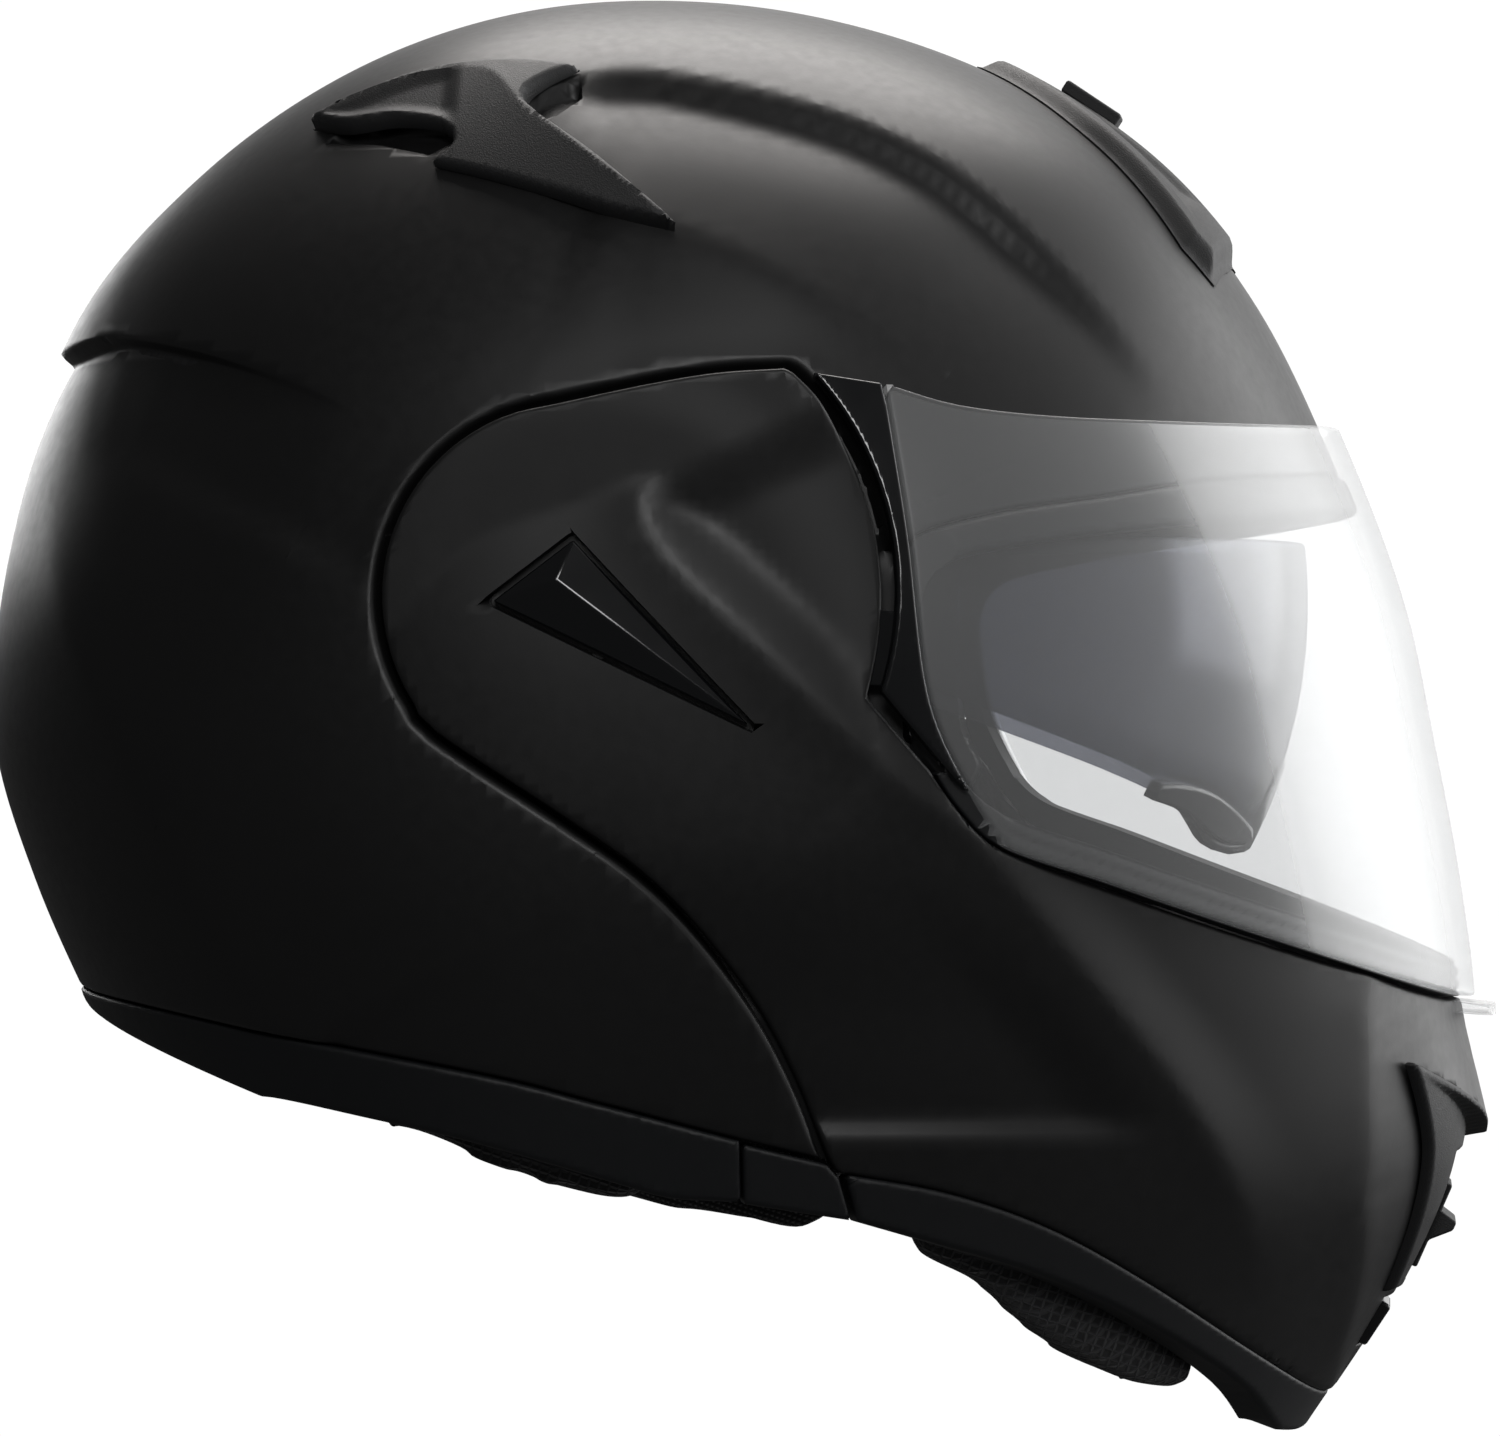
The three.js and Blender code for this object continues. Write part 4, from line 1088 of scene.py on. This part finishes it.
port_seal_field = side_field(loop([[80, -37]], SILL[4:] + [0, 7.6],
                                  SILL[::-1] + [0, GAP + 0.1], [[74, -35.8]]))
panel("port_seal", port_seal_field, (0, 1.4), (-46, -12), FINE * 0.7, -PROUD, 3.4, rubber,
      "chin_bar", "trim", ("chin_port_seal",), 0.5, seal_ribs)
brow_field = side_field(loop(BROW + [GAP, -GAP], BROW_INNER[::-1]))
SEAL_SIDE_Y = 110.6


def brow_points(points, u, v):
    """Keeps the seal's side legs inside the sweep of the chin bar."""
    points[:, 1] = np.clip(points[:, 1], -SEAL_SIDE_Y, SEAL_SIDE_Y)
    return points


panel("brow_edge", brow_field, (0, 1.25), (-19, 17), FINE * 0.8, -1.0, 5.0, rubber, "shell", "trim",
      ("brow_seal",), 2.0, brow_points)

# %% [markdown]
# The face shield: a clear moulding 2.5 mm thick that stands 4 mm off the skin, carried on each
# side by a glossy arm whose rear edge is a circle about the pivot. A small tab at the bottom
# lets a gloved finger lift it.

# %% Face shield
SHIELD_TOP = faired_line([[62.2, 42.2], [76.6, 38.1], [94.7, 36.2], [116.8, 35.7], [137, 35.9],
                          [154.4, 37.1], [200, 41.1]])
SHIELD_REAR = faired_line([[62.2, 42.2], [64.5, 29.8], [67.8, 10.3], [72, -21.3], [80.5, -41],
                           [87, -51.4]])
SHIELD_OUT, SHIELD_IN = -4.0, -1.5
EDGE_BAND, EDGE_SKIN = 0.4, 0.08
shield_field = side_field(loop(SHIELD_TOP, SILL[6:][::-1] + [0, 0.6], SHIELD_REAR[::-1]))
panel("shield", shield_field, (0, 1.4), (-46, 22), FINE * 1.3, SHIELD_OUT, SHIELD_IN, clear_lens,
      "face_shield", "lens", ("visor_lens",), 0.6)


def shield_band(u, v):
    """Positive in a narrow band along the shield's edge, where the cut plastic looks solid."""
    return np.minimum(shield_field(u, v) + 0.06, EDGE_BAND - shield_field(u, v))


panel("shield_edge", shield_band, (0, 1.4), (-46, 22), FINE * 1.3, SHIELD_OUT - EDGE_SKIN,
      SHIELD_IN + EDGE_SKIN, lens_edge, "face_shield", "lens", (), 0)
ARM_CLEAR = 65.2
arm_outline = loop(arc(ARM_CLEAR, -17.5, 43), [[61.4, 42.4]],
                   SHIELD_REAR[2:-4] - [GAP + 0.1, 0], [[76.5, -37.3]])
panel("shield_arms", side_field(arm_outline, 40), (0.5, 1.6), (-20, 22), FINE * 0.5, SHIELD_OUT,
      -1.6, gloss_black, "face_shield", "gloss", (), 0.6)


def slab(name, outline, low, high, side, material, body, slot, replaced=(), width=0.4):
    """An outline in the side view, solid from |y| = low to high, with rounded edges."""
    ring = np.array(outline, float)
    n = len(ring)
    points = np.zeros((2 * n, 3))
    points[:, [0, 2]] = np.vstack([ring, ring])
    points[:n, 1], points[n:, 1] = side * low, side * high
    faces = [list(range(n))[::-1], list(range(n, 2 * n))]
    faces += [[i, (i + 1) % n, n + (i + 1) % n, n + i] for i in range(n)]
    piece = add_piece(name, points, faces, material, body, slot, replaced, 50)
    bevel = piece.modifiers.new("edges", "BEVEL")
    bevel.width = width * MM
    bevel.segments = 3
    bevel.limit_method = "ANGLE"
    bevel.angle_limit = math.radians(35)
    return piece


ARM_PLATE = loop(arc(26, 14, 322, 2.5), [[64.2, -18.6], [66.8, -3.5]])
for tag, side in (("left", 1), ("right", -1)):
    slab(f"arm_plate_{tag}", ARM_PLATE, 113.0, 115.0, side, gloss_black, "face_shield", "gloss",
         (f"visor_arm_{tag}",))


def tab_points():
    """The finger tab: a tongue in x and y, 2.6 mm thick, with two ribs under it."""
    across, out = np.meshgrid(np.linspace(-1, 1, 33), np.linspace(0, 1, 15))
    y = 13 * across * (1 - 0.12 * out**3)
    x = 178.5 + (10.8 - 1.6 * np.abs(across)**4) * out - 3.2 * (across * 13 / 60)**2
    z = -86.6 - 0.9 * out - 0.5 * np.cos(across * 9) * out
    top = np.stack([x, y, z + 0.5 * (1 - out)], -1).reshape(-1, 3)
    bottom = top - [0, 0, 2.4] + [0, 0, 1] * (0.9 * out.reshape(-1, 1)**2)
    corner = np.arange(14)[:, None] * 33 + np.arange(32)
    a, b, c, d = (corner + k for k in (0, 1, 34, 33))
    tris = np.concatenate([np.stack([a, b, c], -1).reshape(-1, 3),
                           np.stack([a, c, d], -1).reshape(-1, 3)])
    return walled(top, bottom, tris)


add_piece("shield_tab", *tab_points(), clear_lens, "face_shield", "lens", (), 50)

# %% [markdown]
# The inner sun visor slides up into the liner on its own pivots, so it is a patch of a barrel
# about them. Its lower edge is trimmed in the side view: where the barrel comes forward
# between the eyes, the edge rises and makes the arch over the nose.

# %% Sun visor
SUN_PIVOT = (34.0, 0.0)
SUN_RADIUS, SUN_HALF, SUN_POWER, SUN_WALL = 114.5, 97.0, 2.2, 2.0


def barrel(across, turn, depth=0.0):
    """The sun visor's surface: y is the half width times the sine of across, and the radius
    about the visor's axis is (1 - |t|^p)^(1/p) of its middle value; turn is in degrees."""
    t = np.sin(across)
    radius = (SUN_RADIUS - depth) * np.maximum(1 - np.abs(t)**SUN_POWER, 0)**(1 / SUN_POWER)
    angle = np.radians(turn)
    return np.stack([SUN_PIVOT[0] + radius * np.cos(angle), (SUN_HALF - depth) * t,
                     SUN_PIVOT[1] + radius * np.sin(angle)], -1)


SUN_EDGE = loop([[24, -8], [24, 8], [45, 12], [60, 13], [160, 13], [160, -30]],
                faired_line([[144, -36.6], [142.5, -40.5], [137.5, -51], [134.5, -54], [128, -53],
                             [122, -44], [108, -36.4], [85, -27.3], [60, -18], [40, -9]]))
sun_field = side_field(SUN_EDGE, surface=barrel)
LIP_WIDTH, LIP_REAR_X, LIP_PROUD = 2.2, 119.0, 0.6
GRIP = faired_line([(113, -40.5), (120, -38.5), (129, -41), (136, -48.5), (134, -52),
                    (128, -50.5), (122, -44.5)], 1.5, closed=True)


def lip_field(u, v):
    """Positive in a band along the front of the sun visor's lower edge."""
    within = sun_field(u, v)
    return np.minimum.reduce([within, LIP_WIDTH - within, barrel(u, v)[:, 0] - LIP_REAR_X])


panel("sun_shade", sun_field, (0, 1.50), (-75, 45), FINE, 0.0, SUN_WALL, smoke_lens, "sun_visor",
      "smoke", ("sun_visor",), 0.5, surface=barrel)
panel("sun_shade_lip", lip_field, (0, 0.55), (-40, -10), FINE * 0.7, -LIP_PROUD,
      SUN_WALL + LIP_PROUD, gloss_black, "sun_visor", "gloss", (), 0.5, surface=barrel)
panel("sun_shade_grip", side_field(GRIP, 12, surface=barrel), (0.1, 0.7), (-45, -10), FINE * 0.6,
      -1.6, SUN_WALL, gloss_black, "sun_visor", "gloss", (), 0.9, surface=barrel)

# %% [markdown]
# Small fittings: the triangular caps over the pivot bolts are three facets that meet in a
# ridge; the rest are machined or moulded pieces whose frame shapes are already right, so
# most only get their edges rounded, and the pivot plates, bolts and studs only get their finish.

# %% Caps and fittings
CAP_APEX = (-3.0, 3.2)
for tag, side in (("left", 1), ("right", -1)):
    rim = INSERT + (INSERT.mean(0) - INSERT) * 0.03
    ring = np.zeros((7, 3))
    ring[:3, [0, 2]], ring[:3, 1] = rim, 117.5
    ring[3:6, [0, 2]], ring[3:6, 1] = rim, (120.2, 120.2, 119.9)
    ring[6] = CAP_APEX[0], 123.2, CAP_APEX[1]
    ring[:, 1] *= side
    faces = [[0, 1, 2]] + [[i, (i + 1) % 3, 3 + (i + 1) % 3, 3 + i] for i in range(3)]
    faces += [[3 + i, 3 + (i + 1) % 3, 6] for i in range(3)]
    cap = add_piece(f"pivot_cap_{tag}", ring, faces, gloss_black, "chin_bar", "gloss",
                    (f"pivot_insert_{tag}",), 20)
    bevel = cap.modifiers.new("edges", "BEVEL")
    bevel.width, bevel.segments = 0.5 * MM, 3
for node_name, finish_used, width in [
        ("release_button", gloss_black, 0.8), ("sun_visor_lever", gloss_black, 0.6),
        ("brow_vent_slider", grained, 0.6), ("chin_vent_shutter", grained, 0.5),
        ("ratchet_tongue", gloss_black, 0.15), ("buckle_channel", steel, 0.25),
        ("buckle_lever", steel, 0.35),
        ("strap_anchor_left", steel, 0.4), ("strap_anchor_right", steel, 0.4),
        ("latch_striker_left", steel, 0.3), ("latch_striker_right", steel, 0.3),
        ("latch_hook_left", steel, 0.4), ("latch_hook_right", steel, 0.4)]:
    body = frame["nodes"][node_name]["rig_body"]
    softened(node_name, finish_used, body, width)
for node_name, finish_used in [("pivot_plate", gloss_black), ("pivot_bolt", steel),
                               ("sun_visor_stud", steel)]:
    for tag in ("left", "right"):
        kept = frame["nodes"][f"{node_name}_{tag}"].data
        kept.materials.clear()
        kept.materials.append(finish_used)

# %% [markdown]
# Under the shell lies the expanded foam that takes an impact. It has a pocket in front, cut to
# the barrel that the sun visor slides in, so its outer face there is found by halving: the
# depth at which a point under the skin first comes inside the barrel.

# %% Foam
LINER_TOP, LINER_BOTTOM = 4.2, 31.0
SUN_ROOM = SUN_WALL + 2.5
LINER_SIDE_Y = 106.1
CROWN_AREA = loop([[-150, -66], [-52, -74], [-30, -24], [60, -24], [66, 10], [72, 19], [190, 36],
                   [190, 150], [-150, 150]])
POCKET = np.array([[20, -26], [20, 12], [124, 110], [220, 110], [220, -60], [60, -60]], float)


def depth_of_barrel(u, v):
    """Depth below the skin at which the sun visor's pocket begins, by twenty halvings."""
    low, high = np.full(len(u), LINER_TOP), np.full(len(u), LINER_BOTTOM - 3)
    for _ in range(20):
        middle = (low + high) / 2
        p = skin(u, v, middle)
        radius = np.hypot(p[:, 0] - SUN_PIVOT[0], p[:, 2] - SUN_PIVOT[1]) / (SUN_RADIUS - SUN_ROOM)
        outside = radius**SUN_POWER + np.abs(p[:, 1] / (SUN_HALF - SUN_ROOM))**SUN_POWER > 1
        low, high = np.where(outside, middle, low), np.where(outside, high, middle)
    return high


def foam_points(points, u, v):
    """The foam's outer face: under the shell's flats at the ears, and sunk in the pocket."""
    p = skin(u, v)
    flat = ramp((chin_bar_field(u, v) + 6) / 2)
    pocket = inside(p[:, [0, 2]], POCKET) > 0
    depth = np.where(pocket, depth_of_barrel(u, v), LINER_TOP + 4.5 * flat)
    out = skin(u, v, depth)
    limit = LINER_SIDE_Y * flat + 200 * (1 - flat)
    out[:, 1] = np.clip(out[:, 1], -limit, limit)
    return out


FOAM_STEP = 4.0
panel("liner", side_field(CROWN_AREA), (0, math.pi), (-45, 90), FOAM_STEP, 0.0, LINER_BOTTOM,
      foam_black, "shell", "foam", ("impact_liner",), 0, foam_points,
      [side_field(POCKET), level(chin_bar_field, -6)])
CORE = [[-27, -26], [57, -26], [57, -101], [45, -101], [45, -112], [33, -110], [-27, -95]]
panel("cheek_cores", side_field(CORE, 20), (0.6, 2.2), (-60, -8), FOAM_STEP, 0.0,
      LINER_BOTTOM - 1, foam_black, "shell", "foam", ("cheek_core_left", "cheek_core_right"), 0,
      foam_points)
CHIN_FOAM_EDGE = loop([[88, -82], [115, -68]],
                      faired_line([[127.3, -71], [147.7, -78.5], [168.4, -86], [200, -98]]),
                      faired_line([[170, -182], [151.3, -166], [137, -154], [116.5, -138.6],
                                   [96.3, -126.5], [86, -122.5]]))
chin_foam_side = side_field(CHIN_FOAM_EDGE)


def chin_foam_field(u, v):
    """Positive on the chin bar's foam, which leaves room for the release button."""
    return np.minimum(chin_foam_side(u, v), -0.6 - button_hole(u, v))


panel("chin_foam", chin_foam_field, (0, 1.3), (-76, -26), 3.0, 3.9, 17.0, foam_black, "chin_bar",
      "foam", ("chin_bar_liner",), 1.5)

# %% [markdown]
# The pads are sewn from brushed knit over soft foam. A pad starts as a closed panel of the
# right thickness, is rebuilt as an even skin, and is then blown up a little as cloth, so that
# it swells between its seams. How far a point may move is capped, so it keeps its room.

# %% Pads
def swell(name, points, faces, pressure, cap, voxel=5.0, frames=16):
    """A padded skin: an even remesh, pressure from inside for some frames with no gravity,
    and each point's travel limited to cap mm. Returns a mesh in stand metres."""
    mesh = bpy.data.meshes.new(name + "_start")
    mesh.from_pydata(to_stand(points).tolist(), [], faces.tolist())
    work = bpy.data.objects.new(name + "_start", mesh)
    bpy.context.scene.collection.objects.link(work)
    even = work.modifiers.new("even", "REMESH")
    even.mode, even.voxel_size = "VOXEL", voxel * MM
    smooth = work.modifiers.new("smooth", "SMOOTH")
    smooth.iterations, smooth.factor = 10, 0.5
    graph = bpy.context.evaluated_depsgraph_get()
    even_mesh = bpy.data.meshes.new_from_object(work.evaluated_get(graph))
    work.modifiers.clear()
    work.data = even_mesh
    start = np.zeros(len(even_mesh.vertices) * 3)
    even_mesh.vertices.foreach_get("co", start)
    start = start.reshape(-1, 3)
    moved = start
    blow = work.modifiers.new("blow", "CLOTH")
    blow.settings.use_pressure = True
    blow.settings.uniform_pressure_force = pressure
    blow.settings.effector_weights.gravity = 0
    blow.settings.quality = 5
    blow.settings.tension_stiffness = blow.settings.compression_stiffness = 18
    blow.point_cache.frame_start, blow.point_cache.frame_end = 1, frames
    for step in range(1, frames + 1):
        bpy.context.scene.frame_set(step)
    result = work.evaluated_get(bpy.context.evaluated_depsgraph_get()).to_mesh()
    moved = np.zeros(len(result.vertices) * 3)
    result.vertices.foreach_get("co", moved)
    moved = moved.reshape(-1, 3)
    travel = np.linalg.norm(moved - start, axis=1, keepdims=True)
    moved = start + (moved - start) * np.minimum(1, cap * MM / np.maximum(travel, 1e-9))
    bpy.context.scene.frame_set(1)
    polygons = [list(p.vertices) for p in even_mesh.polygons]
    bpy.data.objects.remove(work)
    return moved, polygons


def from_stand(points):
    """Metres on the table back to the wearer's millimetres."""
    x, y, z = ((points - PIVOT) / MM).T
    return np.stack([x * math.cos(PITCH) - z * math.sin(PITCH), y,
                     x * math.sin(PITCH) + z * math.cos(PITCH)], -1)


def pad(name, points, faces, material, body, replaced, pressure=4.0, cap=3.0, voxel=5.0, seams=(),
        groove=2.2, width=3.5, keep=None):
    """A swollen pad with seams: near each seam, a distance of a point, it is drawn in along its
    normal by groove times a smooth fall over width."""
    moved, polygons = swell(name, points, faces, pressure, cap, voxel)
    mesh = bpy.data.meshes.new(name)
    mesh.from_pydata(moved.tolist(), [], polygons)
    work = bpy.data.objects.new(name + "_fine", mesh)
    bpy.context.scene.collection.objects.link(work)
    finer = work.modifiers.new("finer", "SUBSURF")
    finer.levels = finer.render_levels = 1
    fine = bpy.data.meshes.new_from_object(work.evaluated_get(bpy.context.evaluated_depsgraph_get()))
    bpy.data.objects.remove(work)
    count = len(fine.vertices)
    co, normal = np.zeros(count * 3), np.zeros(count * 3)
    fine.vertices.foreach_get("co", co)
    fine.vertex_normals.foreach_get("vector", normal)
    p = from_stand(co.reshape(-1, 3))
    sunk = np.zeros(count)
    for seam in seams:
        sunk = np.maximum(sunk, groove * ramp(1 - np.abs(seam(p)) / width))
    co = co.reshape(-1, 3) - normal.reshape(-1, 3) * sunk[:, None] * MM
    if keep is not None:
        co = to_stand(keep(from_stand(co)))
    fine.vertices.foreach_set("co", co.ravel())
    fine.name = name
    piece = finish_piece(name, fine, material, body, replaced, 180)
    return piece


PAD_AREA = loop([[-140, -62], [-60, -69], [-33, -21.5], [57, -21.5], [63, 11], [70, 21.2], [150, 33],
                 [150, 140], [-140, 140]])
crown_shape = panel_shape(side_field(PAD_AREA), (0, math.pi), (-45, 90), 5.0, 32.5, 39.5, 0)


def plan_seam(offset):
    """A seam that runs fore and aft, offset mm from the middle."""
    return lambda p: np.where(p[:, 2] > -20, np.abs(p[:, 1]) - offset, 99.0)


pad("crown_cushion", *crown_shape, knit, "shell", ("crown_pad",), 3.0, 1.6, 4.5,
    [plan_seam(26), lambda p: p[:, 2] - 42 - 0.12 * p[:, 0],
     lambda p: p[:, 0] + 62 + 0.3 * p[:, 2]], 1.8, 3.0)
CHEEK = loop(faired_line([[-24, -32], [48, -32], [60, -46], [68, -98], [62, -131], [33, -131],
                          [4, -125.5], [-24, -115.5]], 4.0, closed=True))
cheek_shape = panel_shape(side_field(CHEEK, 20), (0.5, 2.3), (-70, -8), 4.0, 31.5, 45.5, 0,
                          mirrored=False)
cheek_seam = faired_line([[-12, -42], [30, -42], [48, -54], [55, -96], [52, -114], [30, -115],
                          [6, -111], [-12, -104], [-14, -60]], 4.0, closed=True)


def on_cheek_seam(p):
    """Distance to the oval seam round the cheek pad's face."""
    return from_line(p[:, [0, 2]], cheek_seam)[0]


for tag, side in (("left", 1), ("right", -1)):
    points, faces = cheek_shape
    points = points * [1, side, 1]
    pad(f"cheek_cushion_{tag}", points, faces if side > 0 else faces[:, ::-1], knit, "shell",
        (f"cheek_pad_{tag}",), 4.0, 2.2, 4.5, [on_cheek_seam], 2.0, 3.5)
NECK = faired_line([[-138, -70], [-54, -78], [-34, -84], [-29, -97.5], [-6, -103], [10, -109],
                    [15, -122], [8, -125.5], [-4.5, -123.2], [-21, -118.2], [-36.8, -113],
                    [-50, -108.8], [-66, -103], [-95, -92.5], [-138, -77]], 4.0, closed=True)
neck_shape = panel_shape(side_field(NECK), (1.2, math.pi), (-60, -26), 3.5, 9.6, 23.0, 0)
pad("neck_cushion", *neck_shape, hex_mesh, "shell", ("neck_roll",), 4.0, 1.2, 3.0, [], 0,
    keep=lambda p: flat_bottom(p, None, None))
CURTAIN = loop(faired_line([[73, -123], [96.3, -133], [116.5, -146], [135, -160]]),
               faired_line([[135, -168], [121.5, -165], [107, -158], [96, -150.4], [88, -143],
                            [73, -136]]))
curtain_shape = panel_shape(side_field(CURTAIN), (0, 1.5), (-79, -48), 3.0, 9.0, 21.0, 0)
pad("curtain", *curtain_shape, hex_mesh, "chin_bar", ("chin_curtain",), 3.0, 1.5, 2.8,
    [lambda p: from_line(p[:, [0, 2]], CURTAIN[:len(CURTAIN) // 2] - [0, 6])[0]], 1.2, 2.5,
    keep=lambda p: flat_bottom(p, None, None))

# %% [markdown]
# The strap is woven webbing, 22 mm wide and 2 mm thick. It is a flat section carried along a
# line in the front view, with its long edges rounded, and it is modelled directly because a
# cloth remesh would lose its thin edges.

# %% Chin strap
STRAP_X, STRAP_WIDTH, STRAP_THICK = (12.0, 34.0), 22.0, 2.0


def strap_points(line, side):
    """A rounded flat section along the line: x is half the width times a superellipse cosine,
    the thickness is along the line's normal."""
    path = faired_line(line, 1.6)
    way = np.gradient(path, axis=0)
    way /= np.linalg.norm(way, axis=1, keepdims=True)
    normal = np.stack([-way[:, 1], way[:, 0]], -1)
    turn = np.linspace(0, 2 * math.pi, 32, endpoint=False)
    wide = np.sign(np.cos(turn)) * np.abs(np.cos(turn))**0.28 * STRAP_WIDTH / 2
    thick = np.sign(np.sin(turn)) * np.abs(np.sin(turn))**0.8 * STRAP_THICK / 2
    x = np.mean(STRAP_X) + wide[None, :] + 0 * path[:, :1]
    y = path[:, :1] + normal[:, :1] * thick
    z = path[:, 1:] + normal[:, 1:] * thick
    points = np.stack([x, side * y, z], -1).reshape(-1, 3)
    rows, n = len(path), len(turn)
    i, j = np.meshgrid(np.arange(rows - 1), np.arange(n), indexing="ij")
    a, b = i * n + j, i * n + (j + 1) % n
    faces = np.stack([a, b, b + n, a + n], -1).reshape(-1, 4).tolist()
    return points, faces + [list(range(n))[::-1], list(range((rows - 1) * n, rows * n))]


STRAP_LINE = [[69, -56], [67, -78], [57, -98], [40, -112], [17, -119.5]]
for tag, side in (("left", 1), ("right", -1)):
    add_piece(f"strap_{tag}", *strap_points(STRAP_LINE, side), webbing, "shell", "webbing",
              (f"chin_strap_{tag}",), 60)

# %% [markdown]
# The vents are grained mouldings clipped over the skin. Each rear vent is a swept wing with
# three points; the brow vent is a low shield with a slider in the middle; the chin vent has
# a hood over a shutter.

# %% Vents
WING = loop(faired_line([[-61, 99.5], [-53, 103.5], [-36, 109.6], [-16.4, 111.8], [-3.5, 111]], 1.5),
            faired_line([[-3.5, 111], [-10.5, 106.8], [-13.6, 103], [-10, 99], [3, 89.7],
                         [21, 74.5]], 1.5),
            faired_line([[21, 74.5], [7, 78], [-4.7, 82], [-20, 86.6], [-32.5, 89.8]], 1.5),
            faired_line([[-32.5, 89.8], [-28.2, 94], [-31, 97.4], [-41, 98.8], [-52, 97.8],
                         [-61, 99.5]], 1.5))
wing_field = side_field(WING, 30)
wing_ridge = faired_line([[-61, 100], [-53, 102.5], [-36, 108], [-22, 108], [-14.5, 101],
                          [-9, 97], [4, 87], [21, 74.5]], 1.5)


def rim_rise(away, radius):
    """The rise of a rounded rim: a quarter circle from 0 at the rim to 1 at its radius."""
    return 1 - rounded(away, radius) / radius


def wing_points(points, u, v):
    """The cover is highest along its upper edge and thins towards the lower one; the arm to
    the rear is dished, which leaves it overhanging the slot beneath."""
    p = skin(u, v)
    distance, _, _ = from_line(p[:, [0, 2]], wing_ridge)
    away = wing_field(u, v)
    high = 0.6 + 4.0 * rim_rise(away, 1.3) * (0.3 + 0.7 * np.exp(-distance / 13))
    high -= 1.5 * ramp((away - 0.8) / 3) * ramp((-27 - p[:, 0]) / 5)
    return skin(u, v, -high)


for tag, side in (("left", 1), ("right", -1)):
    low, high = (0.9, 2.9) if side > 0 else (-2.9, -0.9)
    panel(f"rear_vent_{tag}", wing_field, (low, high), (28, 62), FINE * 0.7, 0.0, -0.2, grained,
          "shell", "vent", (f"extractor_vent_{tag}",), 0, wing_points,
          [level(wing_field, h) for h in (0.15, 0.55, 1.3)] + [on_crease(wing_ridge)],
          mirrored=False)

BROW_VENT = loop(faired_line([[76, 0], [77, 7], [84, 16], [97, 29], [107, 35], [122, 43]], 1.5),
                 [[129, 40.5], [131.5, 22], [132.5, 0]])
brow_vent_field = side_field(BROW_VENT, view="plan")


def brow_vent_points(points, u, v):
    """A low shield with a raised edge band and a dished middle."""
    away = brow_vent_field(u, v)
    high = 3.8 * ramp(away / 4) - 1.6 * ramp((away - 8) / 5)
    p = skin(u, v)
    high = high + 1.4 * ramp(1 - np.abs(np.abs(p[:, 1]) - 11) / 2.2) * ramp((away - 9) / 4)
    return skin(u, v, -np.maximum(high, 0.35))


panel("crown_vent", brow_vent_field, (0, 0.8), (25, 72), FINE * 0.8, 0.0, -0.3, grained, "shell",
      "vent", ("brow_vent",), 0, brow_vent_points, [level(brow_vent_field, h) for h in (4, 8)])
CHIN_VENT = [[0, -113.4], [46.5, -97.9], [48, -98], [36, -117], [30, -130], [21, -148.5],
             [0, -148.5]]
WINDOW = [[0, -119], [17, -119], [13.5, -146.5], [0, -146.5]]
HOOD_THICK, HOOD_EASE, HOOD_REACH = 2.4, 0.9, 4.6
chin_vent_frame_field = side_field(CHIN_VENT, view="front")
window_field = side_field(WINDOW, view="front")


def chin_vent_region(u, v):
    """The frame less its window."""
    return np.minimum(chin_vent_frame_field(u, v), -window_field(u, v))


def chin_vent_points(points, u, v):
    """A low frame with rounded rims; under the painted nose it carries a hood as long as the
    nose, which steps straight back beneath."""
    p = skin(u, v)
    away = chin_vent_region(u, v)
    out = skin(u, v, -0.5 - 2.2 * rim_rise(away, 1.2))
    under = ramp((nose_edge(p) + HOOD_THICK + HOOD_EASE) / HOOD_EASE)
    out[:, 0] += HOOD_REACH * ramp((NOSE_HALF - np.abs(p[:, 1])) / 40) * under
    return out


panel("chin_vent", chin_vent_region, (0, 0.6), (-66, -40), FINE * 0.7, 0.0, -0.3, grained,
      "chin_bar", "vent", ("chin_vent_frame",), 0, chin_vent_points,
      [level(chin_vent_region, h) for h in (0.15, 0.55, 1.2)]
      + [nose_line(HOOD_THICK), nose_line(HOOD_THICK + HOOD_EASE)])
